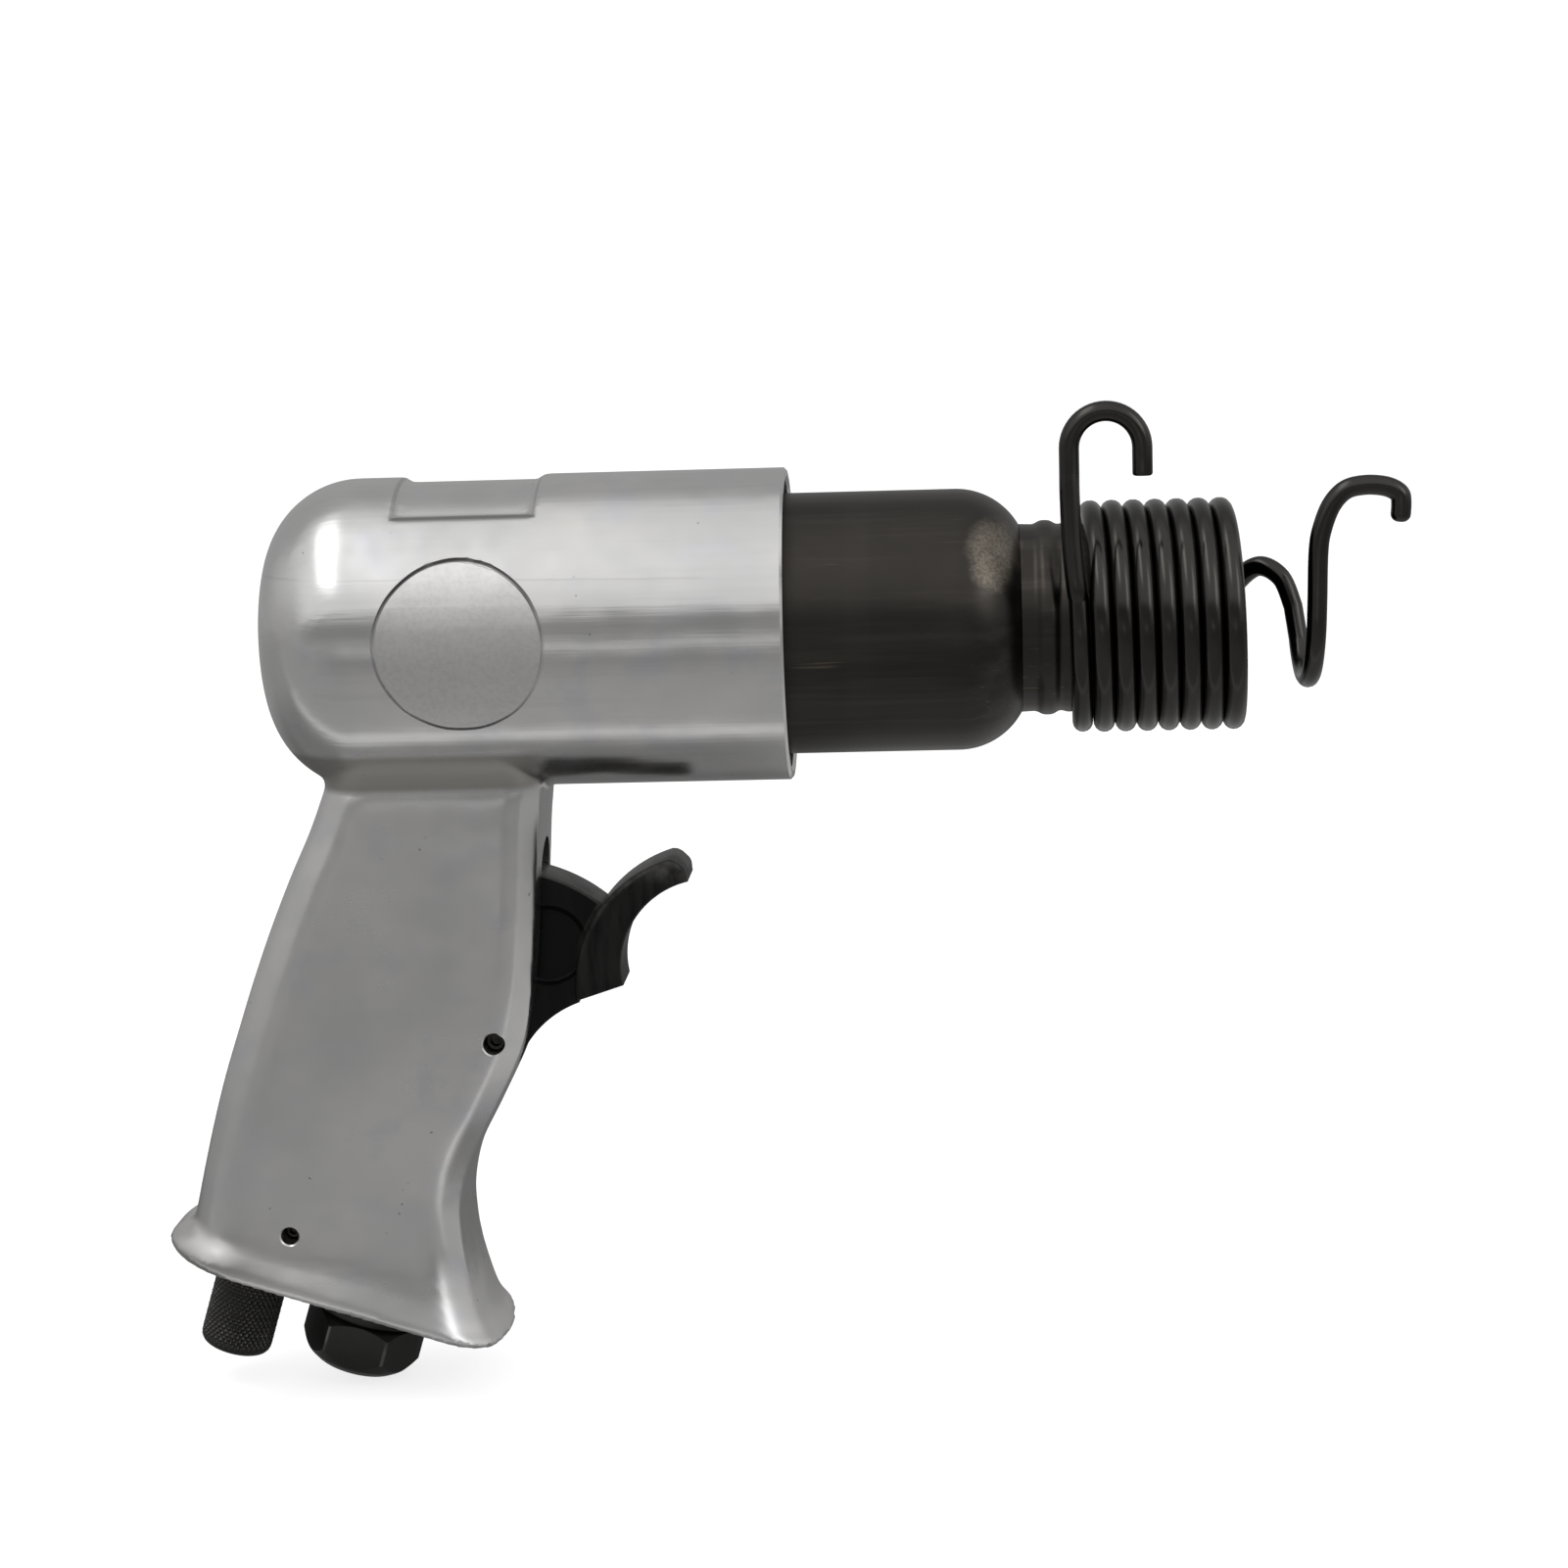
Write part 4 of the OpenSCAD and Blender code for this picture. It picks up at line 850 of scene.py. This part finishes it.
body = turned([(12, 0), (12, 7.8), (11.6, 8.2), (-0.6, 8.2), (-0.8, 8.0), (-SEAL_T, 8.0)]
              + rounded([(-SEAL_T, 8.2), (-SEAL_T, COLLAR_R), (hex_top - 0.02, COLLAR_R),
                         (hex_top - 0.02, 5), (hex_top - 0.02, 0)], 0.45, 4), 128, "inlet_hexagon")
inlet = combine(body, hexagon, "UNION")
cut(inlet, turned([(hex_end - 1, 0), (hex_end - 1, INLET_R + 1.2), (hex_end + 0.2, INLET_R),
                   (hex_end + 12, INLET_R), (hex_end + 12.6, 4), (13, 4), (13, 0)], 96),
    bar(7, 13, 6, 64))
thread = draw([(hex_end + 1.5, 0, INLET_R + 0.3), (hex_end + 1.8, 0, INLET_R - 0.35),
               (hex_end + 2.1, 0, INLET_R - 0.35), (hex_end + 2.4, 0, INLET_R + 0.3)])
bpy.ops.mesh.select_all(action="SELECT")
bpy.ops.mesh.edge_face_add()
thread = done(thread, "thread")
modify(thread, "SCREW", axis="X", angle=2 * math.pi * THREAD_TURNS,
       screw_offset=THREAD_PITCH * THREAD_TURNS * MM, steps=THREAD_STEPS * THREAD_TURNS,
       render_steps=THREAD_STEPS * THREAD_TURNS, use_merge_vertices=True)
edit(thread)
clean(merge=0.001)
nothing_selected()
print("Thread:", len(thread.data.polygons), "faces", [round(v / MM, 2) for v in thread.dimensions])
only(inlet)
thread.select_set(True)
bpy.ops.object.join()
smooth_faces(on_foot(inlet, INLET_AT), 30)
tell("Inlet bushing", inlet)

# %% [markdown]
# ## Throttle spring
# A small coil spring inside the grip pushes the throttle stem back. It is the one inner piece
# that changes its length, so it is modelled again, as the same kind of wire as the retainer.

# %% Throttle spring
SPRING_LEN, SPRING_R, SPRING_WIRE_R, STEM_TRAVEL = 9.2, 3.6, 0.4, 4.1
SPRING_TURNS, TURN_STEPS = 5, 24
spring_span, spring_steps = SPRING_LEN - 2 * SPRING_WIRE_R, SPRING_TURNS * TURN_STEPS
spring_route = []
for k in range(spring_steps + 1):
    a = 2 * math.pi * k / TURN_STEPS
    x, z = pin_point(CHAMBER_END + 0.05 + SPRING_WIRE_R + spring_span * k / spring_steps,
                     THROTTLE_Z + SPRING_R * math.sin(a))
    spring_route.append((x, SPRING_R * math.cos(a), z))
return_spring = smooth_faces(wire(spring_route, SPRING_WIRE_R, 12, "throttle_return_spring",
                                  [1] * len(spring_route)), 40)
tell("Throttle spring", return_spring)

# %% [markdown]
# ## Pieces on the frame
# Every modelled piece rides on its CAD body, stands for its CAD node and names the record's
# finish. The other nodes are inside the tool and stay as they are.

# %% Ride on the bodies
DRESSED = [
    (casting, "tool", "housing", "cast_aluminium"),
    (barrel, "tool", "barrel", "dark_steel"),
    (retainer, "retainer_spring", "retainer_spring", "black_spring_steel"),
    (trigger, "trigger", "trigger", "black_trigger"),
    (trigger_pin, "tool", "trigger_pin", "bright_steel"),
    (regulator, "regulator", "regulator", "black_fittings"),
    (regulator_pin, "tool", "regulator_pin", "bright_steel"),
    (inlet, "tool", "inlet_bushing", "black_fittings"),
    (return_spring, "tool", "throttle_spring", "bright_steel"),
]
for piece, body, node, slot in DRESSED:
    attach(piece, body)
    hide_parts(node)
spring_x, spring_z = pin_point(CHAMBER_END, THROTTLE_Z)
spring_x * MM
spring_z * MM
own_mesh(return_spring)
print("Dressed:", ", ".join(piece.name for piece, *_ in DRESSED))

# %% [markdown]
# ## Finishes
# Shader arithmetic gets hard to read as a list of nodes and links. This small class wraps one
# output socket, so that a mask can be written as a plain expression, and every other node comes
# from one method. All patterns use object coordinates, which stay on the piece when it moves.

# %% Shader helpers
class Link:
    """One output of a node. Arithmetic on it adds Math nodes."""

    def __init__(self, nodes, socket):
        self.nodes, self.socket = nodes, socket

    def math(self, operation, *values):
        return self.nodes.add("ShaderNodeMath", {"operation": operation}, dict(enumerate(values)))

    def __add__(self, other): return self.math("ADD", self, other)
    def __radd__(self, other): return self.math("ADD", other, self)
    def __sub__(self, other): return self.math("SUBTRACT", self, other)
    def __rsub__(self, other): return self.math("SUBTRACT", other, self)
    def __mul__(self, other): return self.math("MULTIPLY", self, other)
    def __rmul__(self, other): return self.math("MULTIPLY", other, self)
    def __truediv__(self, other): return self.math("DIVIDE", self, other)
    def __pow__(self, other): return self.math("POWER", self, other)
    def __abs__(self): return self.math("ABSOLUTE", self)
    def most(self, other): return self.math("MAXIMUM", self, other)

    def step(self, low, high):
        """0 below low, 1 above high, smooth between."""
        return self.nodes.add("ShaderNodeMapRange", {"interpolation_type": "SMOOTHSTEP"},
                              {0: self, 1: low, 2: high, 3: 0.0, 4: 1.0})

    def within(self, low, high, soft):
        """1 between low and high, 0 outside."""
        return self.step(low - soft, low + soft) * (1 - self.step(high - soft, high + soft))


def rgba(colour):
    """A link stays. A triple, or a number for a grey, becomes a socket's colour."""
    if isinstance(colour, Link):
        return colour
    return (*colour, 1) if isinstance(colour, tuple) else (colour, colour, colour, 1)


class Nodes:
    """A node tree that nodes are added to."""

    def __init__(self, tree):
        self.tree = tree
        tree.nodes.clear()

    def add(self, kind, settings=None, inputs=None, output=0):
        node = self.tree.nodes.new(kind)
        for key, value in (settings or {}).items():
            if key == "stops":
                ramp = node.color_ramp
                while len(ramp.elements) < len(value):
                    ramp.elements.new(0.5)
                for element, (position, colour) in zip(ramp.elements, value):
                    element.position, element.color = position, rgba(colour)
            else:
                setattr(node, key, value)
        for key, value in (inputs or {}).items():
            if isinstance(value, Link):
                self.tree.links.new(value.socket, node.inputs[key])
            else:
                node.inputs[key].default_value = value
        return Link(self, node.outputs[output]) if node.outputs else node

    def place(self):
        return self.add("ShaderNodeTexCoord", output="Object")

    def axis(self, which):
        """The place on the piece along one axis, in mm."""
        return self.add("ShaderNodeSeparateXYZ", inputs={0: self.place()}, output=which) * 1000

    def noise(self, scale, detail, stretch=(1, 1, 1), offset=(0, 0, 0)):
        vector = self.add("ShaderNodeMapping", inputs={"Vector": self.place(),
                          "Scale": stretch, "Location": offset})
        return self.add("ShaderNodeTexNoise", {"noise_dimensions": "3D"},
                        {"Vector": vector, "Scale": scale, "Detail": detail, "Roughness": 0.55})

    def mix(self, share, first, second):
        return self.add("ShaderNodeMix", {"data_type": "RGBA"},
                        {0: share, 6: rgba(first), 7: rgba(second)}, output=2)

    def layered(self, tone, *layers):
        """Lays one tone after another over the first, each through its mask."""
        for mask, over in layers:
            tone = self.mix(mask, tone, over)
        return tone

    def bump(self, height, strength, distance, below=None):
        inputs = {"Height": height, "Strength": strength, "Distance": distance * MM}
        if below:
            inputs["Normal"] = below
        return self.add("ShaderNodeBump", None, inputs)


def from_axis(a, b):
    """How far out a place is, from its two offsets."""
    return (a * a + b * b) ** 0.5


def finish(name, **sockets):
    """A new material with its Principled shader, and the tree to add to."""
    material = bpy.data.materials.new(name)
    material.use_nodes = True
    nodes = Nodes(material.node_tree)
    shader = nodes.add("ShaderNodeBsdfPrincipled")
    nodes.add("ShaderNodeOutputMaterial", inputs={"Surface": shader})
    nodes.shader = shader.socket.node
    for socket, value in sockets.items():
        feed(nodes, socket.replace("_", " "), value)
    return material, nodes


def feed(nodes, socket, value):
    target = nodes.shader.inputs[socket]
    if isinstance(value, Link):
        nodes.tree.links.new(value.socket, target)
    else:
        target.default_value = value


def wear(piece, material):
    piece.data.materials.clear()
    piece.data.materials.append(material)


# %% [markdown]
# ### Polished cast aluminium
# The casting was linished and buffed: fine lines along the head, a satin haze, and faint
# patches where the buffing was lighter. The disc on the left side was left duller. The tone
# stays near a clean aluminium, and the roughness carries most of the variation.

# %% Aluminium
aluminium, n = finish("cast_aluminium_buffed", Metallic=1.0)
x, y, z = (n.axis(a) for a in "XYZ")
UNDER_HEAD_Z = -25
on_head = z.step(UNDER_HEAD_Z - 0.5, UNDER_HEAD_Z + 0.5)
wave = n.noise(30, 1)
cloud = n.noise(42, 3, offset=(0.6, 0.2, 0.4))
patch = n.noise(120, 4, offset=(0.3, 0.1, 0.7))
long_lines = n.noise(520, 3, stretch=(0.035, 1, 1))
short_lines = n.noise(430, 3, stretch=(0.10, 1, 1), offset=(0.2, 0, 0))
lines = on_head * long_lines + (1 - on_head) * short_lines
hair = n.noise(3000, 2, stretch=(0.012, 1, 1))

# The disc; painted shade in its groove and along the edges of the sunk panel; the crease under the
# head, duller and painted darker as shade
from_centre = from_axis(x - DISC_X, z)
left = 1 - y.step(-12, -8)
disc = (1 - from_centre.step(DISC_R - 0.6, DISC_R)) * left
# Painted shade in the disc's groove, darker towards the groove's top
groove_shade = from_centre.within(DISC_R - 0.3, DISC_R + 0.3, 0.12) * left
groove_shade = groove_shade * (0.15 + 0.85 * z.step(0, 9))
across_panel = x.within(PANEL_BACK - 0.3, PANEL_FRONT + 0.3, 0.2)
# Painted shade along the sunk panel's lower edge and at its ends
sill = z.within(PANEL_LOW - 0.15, PANEL_LOW + 0.3, 0.12) * across_panel
ends = (x.within(PANEL_BACK - 0.4, PANEL_BACK + 0.25, 0.15)
        + x.within(PANEL_FRONT - 0.35, PANEL_FRONT + 0.1, 0.15))
ends = ends * z.step(PANEL_LOW, PANEL_LOW + 0.4)
groove_and_panel_shade = groove_shade.most(sill * 0.75).most(ends * 0.35)
# The crease under the head is left rougher and duller, and its colour is painted darker as shade
crease_dull_and_shade = z.within(UNDER_HEAD_Z + 0.1, -18.5, 0.8) * (1 - x.step(-104, -100))
seam_z = z + 0.018 * x + 0.9 * n.noise(70, 2, stretch=(1, 0.2, 0.2))
seam = seam_z.within(8.90, 9.25, 0.18) * n.noise(46, 2).step(0.42, 0.60) * (1 - disc)
pits = n.noise(900, 1).step(0.76, 0.80) * n.noise(60, 2, offset=(0.5, 0.2, 0.1)).step(0.52, 0.62)

grain = n.noise(1300, 3, offset=(0.1, 0.3, 0.2))
# The rear of the foot is painted darker as shade, which dims its reflection there
rear_foot_shade = (1 - x.step(-160, -146)) * (1 - z.step(-107, -98))
feed(n, "Base Color", n.layered(
    n.mix(cloud.step(0.3, 0.7), (0.70, 0.70, 0.695), (0.80, 0.79, 0.77)),
    (patch.step(0.5, 0.75) * 0.8, (0.70, 0.70, 0.735)),
    (long_lines.step(0.52, 0.72) * on_head * 0.16, 0.55),
    (disc * 0.55, (0.75, 0.74, 0.72)),
    (disc * grain.step(0.40, 0.66) * 0.20, (0.50, 0.49, 0.47)),
    # Painted shade on the rear of the foot, broken up by the patches
    (rear_foot_shade * (0.15 + 0.9 * patch), (0.46, 0.45, 0.43)),
    # Painted shade in the crease under the head
    (crease_dull_and_shade * 0.9, (0.38, 0.37, 0.345)),
    (seam * 0.17, 0.3),
    # Casting pits, and the painted shade in the groove and along the panel's edges, share one dark
    # tone
    ((pits * 0.6).most(groove_and_panel_shade * 0.85), (0.10, 0.095, 0.09))))
feed(n, "Roughness", 0.14 + 0.07 * cloud + 0.07 * patch + 0.10 * (lines - 0.5) + 0.20 * disc
     + 0.04 * (1 - on_head) + 0.14 * (1 - z.step(-122, -104)) + 0.2 * crease_dull_and_shade + 0.2 * groove_and_panel_shade)
less_on_grip = 0.25 + 0.75 * on_head
slow = n.bump(wave + 0.25 * n.noise(120, 1, offset=(0.3, 0.1, 0.7)), 1.0, 0.5)
drawn = n.bump(lines * less_on_grip, 0.5, 0.07, slow)
feed(n, "Normal", n.bump(hair * less_on_grip + 0.4 * seam, 0.4, 0.012, drawn))
wear(casting, aluminium)
print("Aluminium on", casting.name)

# %% [markdown]
# ### Dark steel
# The barrel is oil blackened, with a warm brown cast, draw marks along it and a patch on the
# shoulder where handling has rubbed the black thin.

# %% Barrel steel
steel, n = finish("barrel_black_brown", Metallic=1.0)
x, y, z = (n.axis(a) for a in "XYZ")
streaks = n.noise(300, 3, stretch=(0.04, 1, 1))
cloud = n.noise(60, 3)
hair = n.noise(1500, 2, stretch=(0.03, 1, 1))
RUB_X, RUB_Z, RUB_LONG, RUB_HIGH = -27.4, 12.2, 4.2, 5.6
rub_x, rub_z = (x - RUB_X) / RUB_LONG, (z - RUB_Z) / RUB_HIGH
rub = rub_x * rub_x + rub_z * rub_z + 1.6 * (n.noise(260, 3) - 0.5)
rubbed = (1 - rub.step(0.0, 1.5)) * (1 - y.step(-12, 0))
rubbed = rubbed * (0.45 + 0.55 * n.noise(2200, 3).step(0.36, 0.66))
scratches = hair.step(0.66, 0.72) * n.noise(50, 2, offset=(0.4, 0.3, 0)).step(0.45, 0.6)
band = x.within(-51.5, -47.5, 0.8) * (0.4 + 0.6 * cloud)
feed(n, "Base Color", n.layered(
    n.mix(cloud, (0.040, 0.037, 0.034), (0.064, 0.058, 0.052)),
    (streaks.step(0.48, 0.72) * 0.35, (0.11, 0.10, 0.09)),
    (band * 0.07, (0.12, 0.11, 0.10)),
    (scratches * 0.5, (0.20, 0.165, 0.13)),
    (rubbed * 0.75, (0.30, 0.262, 0.215))))
feed(n, "Roughness", 0.30 + 0.12 * cloud + 0.14 * (streaks - 0.5) + 0.08 * rubbed)
worn = n.bump(streaks, 0.3, 0.05)
feed(n, "Normal", n.bump(hair - 0.5 * rubbed, 0.4, 0.012, worn))
wear(barrel, steel)


# %% [markdown]
# ### Black oxide, satin black and bright steel
# The spring wire and the fittings are black oxide: a dark metal with a thin oily shine. The
# trigger is painted satin black. Inside parts are ground steel, brass, rubber and fibre.

# %% Trigger paint
black_paint, n = finish("trigger_satin_black", Specular_IOR_Level=0.17)
x, y, z = n.axis("X") - PIN_X, n.axis("Y"), n.axis("Z") - PIN_Z
along, above = x * math.cos(LEAN) - z * math.sin(LEAN), x * math.sin(LEAN) + z * math.cos(LEAN)
hook_r, web_r = from_axis(along - HOOK_AT[0], above - HOOK_AT[1]), from_axis(along, above)
grain, brushed = n.noise(700, 3), n.noise(420, 3, stretch=(1, 1, 0.15))
# Brushed tone on the hook's sides; the web, down in the slot, is painted near black as shade
hook_brushed_web_shaded = 0.06 + 0.94 * abs(y).step(WEB_HALF - 0.1, WEB_HALF + 0.3)
hook_rim = hook_r.within(HOOK_OUT_R - 0.8, HOOK_OUT_R + 0.6, 0.3)
web_rim = web_r.step(WEB_R - 0.5, WEB_R - 0.2) * hook_r.step(HOOK_OUT_R - 0.3, HOOK_OUT_R + 0.1)
worn = hook_rim.most(web_rim) * above.step(12, 27) * n.noise(160, 3).step(0.30, 0.62)
tip = above.step(27.5, 30.5) * n.noise(240, 3, offset=(0.2, 0.4, 0)).step(0.35, 0.65)
feed(n, "Base Color", n.layered(
    n.mix(brushed.step(0.35, 0.7) * hook_brushed_web_shaded, 0.003, (0.018, 0.018, 0.017)),
    ((worn * 0.8).most(tip * 0.75), (0.11, 0.107, 0.10))))
feed(n, "Roughness", 0.34 + 0.14 * (grain - 0.5) + 0.06 * brushed)
feed(n, "Normal", n.bump(grain, 0.16, 0.03))
wear(trigger, black_paint)

# %% Other finishes
def grained(name, dark, light, rough, metallic, grain, edge=None):
    """A grained finish. Edge is (place along the foot, radius, tone) of worn edges on a fitting."""
    material, n = finish(name, Metallic=metallic)
    cloud, fine = n.noise(grain * 0.2, 3), n.noise(grain, 3)
    tone = n.mix(cloud, dark, light)
    if edge:
        place, radius, bright = edge
        at_x, at_z = foot_point(place, 0)
        off_x, off_z = n.axis("X") - at_x, n.axis("Z") - at_z
        r = from_axis(off_x * ALONG_FOOT[0] + off_z * ALONG_FOOT[2], n.axis("Y"))
        tone = n.mix(r.step(radius - 0.12, radius + 0.12) * n.noise(150, 3).step(0.35, 0.6), tone,
                     (bright, bright * 0.98, bright * 0.94))
    feed(n, "Base Color", tone)
    feed(n, "Roughness", rough + 0.14 * (fine - 0.5) + 0.08 * (cloud - 0.5))
    feed(n, "Normal", n.bump(fine, 0.16, 0.03))
    return material


# Each finish, and the modelled pieces or the CAD nodes that wear it
GRAINED = [
    (("spring_wire_black", (0.040, 0.039, 0.037), (0.075, 0.072, 0.067), 0.20, 1.0, 500),
     [retainer]),
    (("knob_black_oxide", (0.037, 0.037, 0.035), (0.068, 0.066, 0.061), 0.32, 0.8, 600,
      (REGULATOR_AT, KNOB_R - 0.10, 0.13)), [regulator]),
    (("bushing_black_oxide", (0.028, 0.028, 0.027), (0.052, 0.051, 0.048), 0.30, 0.8, 600,
      (INLET_AT, 10.25, 0.20)), [inlet]),
    (("ground_steel", (0.5, 0.5, 0.5), (0.62, 0.61, 0.6), 0.28, 1.0, 500),
     [return_spring, "piston", "front_valve_block", "rear_valve_block", "valve_dowels",
      "throttle_stem", "valve_disc"]),
    # The cross pins: bright steel painted near black, as shade in their holes
    (("pin_steel_dark", (0.035, 0.035, 0.035), (0.06, 0.058, 0.055), 0.4, 1.0, 500),
     [trigger_pin, regulator_pin]),
    (("turned_brass", (0.7, 0.52, 0.24), (0.8, 0.62, 0.32), 0.28, 1.0, 400),
     ["throttle_bush", "inlet_strainer"]),
    (("seal_rubber", (0.016, 0.016, 0.016), (0.028, 0.028, 0.028), 0.62, 0.0, 700),
     ["bush_seal", "throttle_seal", "regulator_seal", "inlet_seal"]),
    (("gasket_fibre", (0.08, 0.13, 0.10), (0.12, 0.18, 0.14), 0.75, 0.0, 900), ["valve_gasket"]),
]
for recipe, wearers in GRAINED:
    material = grained(*recipe)
    for piece in wearers:
        wear(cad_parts[piece] if isinstance(piece, str) else piece, material)
print("Finishes:", len(bpy.data.materials))

# %% [markdown]
# ## Studio
# A pale floor under the foot, white all round for the camera, and soft light. Polished metal
# shows the room more than the lamps, so the room has a bright upper side, a duller side at the
# camera and a mid grey floor, as in a small product tent. What the metal sees of the floor is
# painted, with painted shade under the tool and painted bright strips.

# %% Floor
floor_z = cad_box[0].z
nothing_selected()
bpy.ops.mesh.primitive_plane_add(size=8, location=(0, 0, floor_z))
floor = done(bpy.context.object, "floor")
paper = bpy.data.materials.new("floor_paper")
paper.use_nodes = True
n = Nodes(paper.node_tree)
seen = n.add("ShaderNodeLightPath", output="Is Camera Ray")
mirrored = n.add("ShaderNodeLightPath", output="Is Glossy Ray")
matt = n.add("ShaderNodeBsdfDiffuse", inputs={"Color": (0.6, 0.6, 0.6, 1)})
glow = n.add("ShaderNodeEmission", inputs={"Strength": seen * 0.78})
# What the metal sees of the floor is painted: a tone for each y in mm, a mid grey far from the
# tool, paler ahead of it, and painted shade under and behind the tool. The bright strips are
# painted light that shows as reflections low on the head and the skirt.
PAINTED_FLOOR_TONES = [(-1900, 0.38), (-1450, 0.30), (-1300, 0.95), (-980, 0.95), (-830, 0.28), (-700, 0.26),
         (-380, 0.25), (-260, 0.33), (-80, 0.36), (-60, 0.38), (-51, 0.80), (-43, 0.80),
         (-36, 0.32), (-22, 0.20), (60, 0.20), (120, 0.14), (240, 0.18), (600, 0.20),
         (900, 0.24), (1500, 0.38)]
FLOOR_SPAN, TOOL_MID_X = 4000, -70
floor_painted_light_and_shade = n.layered(
    n.add("ShaderNodeValToRGB", {"stops": [(p / FLOOR_SPAN + 0.5, v) for p, v in PAINTED_FLOOR_TONES]},
          {0: n.axis("Y") / FLOOR_SPAN + 0.5}),
    # Painted tones: mid grey far from the tool, and paler ahead of it
    (abs(n.axis("X") - TOOL_MID_X).step(160, 420) * 0.8, 0.33),
    (n.axis("X").step(-78, -38) * n.axis("Y").within(-38, 260, 12), 0.46))
# Painted shade: the floor's reflection is dimmed far off to the right of the tool
shade_beside = 1 - 0.25 * n.axis("X").step(60, 330)
in_metal = n.add("ShaderNodeEmission", inputs={"Color": floor_painted_light_and_shade, "Strength": shade_beside})
in_view = n.add("ShaderNodeAddShader", inputs={0: matt, 1: glow})
n.add("ShaderNodeOutputMaterial", inputs={"Surface": n.add(
    "ShaderNodeMixShader", inputs={0: mirrored, 1: in_view, 2: in_metal})})
wear(floor, paper)
print("Floor at", round(floor_z / MM, 1), "mm")

# %% World
world = bpy.data.worlds.new("studio_room")
bpy.context.scene.world = world
world.use_nodes = True
n = Nodes(world.node_tree)
direction = n.add("ShaderNodeTexCoord", output="Generated")
dir_x, dir_y, dir_z = (n.add("ShaderNodeSeparateXYZ", inputs={0: direction}, output=a)
                       for a in "XYZ")
turn = dir_z.math("ARCTAN2", dir_z, 0 - dir_y) / (2 * math.pi) + 0.5
# The tone all round the barrel's axis, then both ends, and two bright windows: one high at the
# rear for the dome, and one at the front right for the disc and the barrel
ROOM = [(0.00, 0.40), (0.49, 0.40), (0.503, 0.24), (0.538, 0.22), (0.555, 0.78), (0.65, 0.86),
        (0.79, 0.72), (0.83, 0.40), (1.0, 0.36)]
window = ((0 - dir_x).within(0.25, 0.55, 0.07) * dir_z.step(0.50, 0.70)
          * (1 - dir_y.step(-0.05, 0.3)))
side_window = (dir_x.within(0.56, 0.84, 0.06) * (0 - dir_y).within(0.35, 0.78, 0.08)
               * dir_z.step(0.14, 0.30))
room = n.layered(
    n.add("ShaderNodeValToRGB", {"stops": ROOM}, {0: turn}),
    ((0 - dir_x).step(0.70, 0.95), n.mix(dir_z.step(-0.1, 0.6), 0.34, 0.62)),
    (dir_x.step(0.60, 0.85), n.mix(dir_z.step(-0.1, 0.6), 0.46, 0.85)),
    (window, 2.4),
    (side_window, 2.2))
camera_ray = n.add("ShaderNodeLightPath", output="Is Camera Ray")
glossy_ray = n.add("ShaderNodeLightPath", output="Is Glossy Ray")
shown = n.layered(0.55, (glossy_ray, room), (camera_ray, 1.0))
n.add("ShaderNodeOutputWorld", inputs={"Surface": n.add("ShaderNodeBackground",
                                       inputs={"Color": shown, "Strength": 1.0})})
print("Room stops:", len(ROOM))


# %% Lamps
def softbox(name, at, aim, size, power):
    nothing_selected()
    bpy.ops.object.light_add(type="AREA", location=at)
    lamp = done(bpy.context.object, name)
    lamp.data.shape = "RECTANGLE"
    lamp.data.size, lamp.data.size_y = size
    lamp.data.energy = power
    lamp.visible_glossy = False
    lamp.rotation_mode = "QUATERNION"
    lamp.rotation_quaternion = (Vector(aim) - Vector(at)).to_track_quat("-Z", "Y")


TARGET = (-0.07, 0, -0.03)
softbox("lamp_above", (-0.66, -0.25, 0.94), TARGET, (0.60, 0.34), 1.4)
softbox("lamp_front", (0.55, -0.75, 0.65), TARGET, (0.35, 0.35), 0.8)
print("Lamps set")
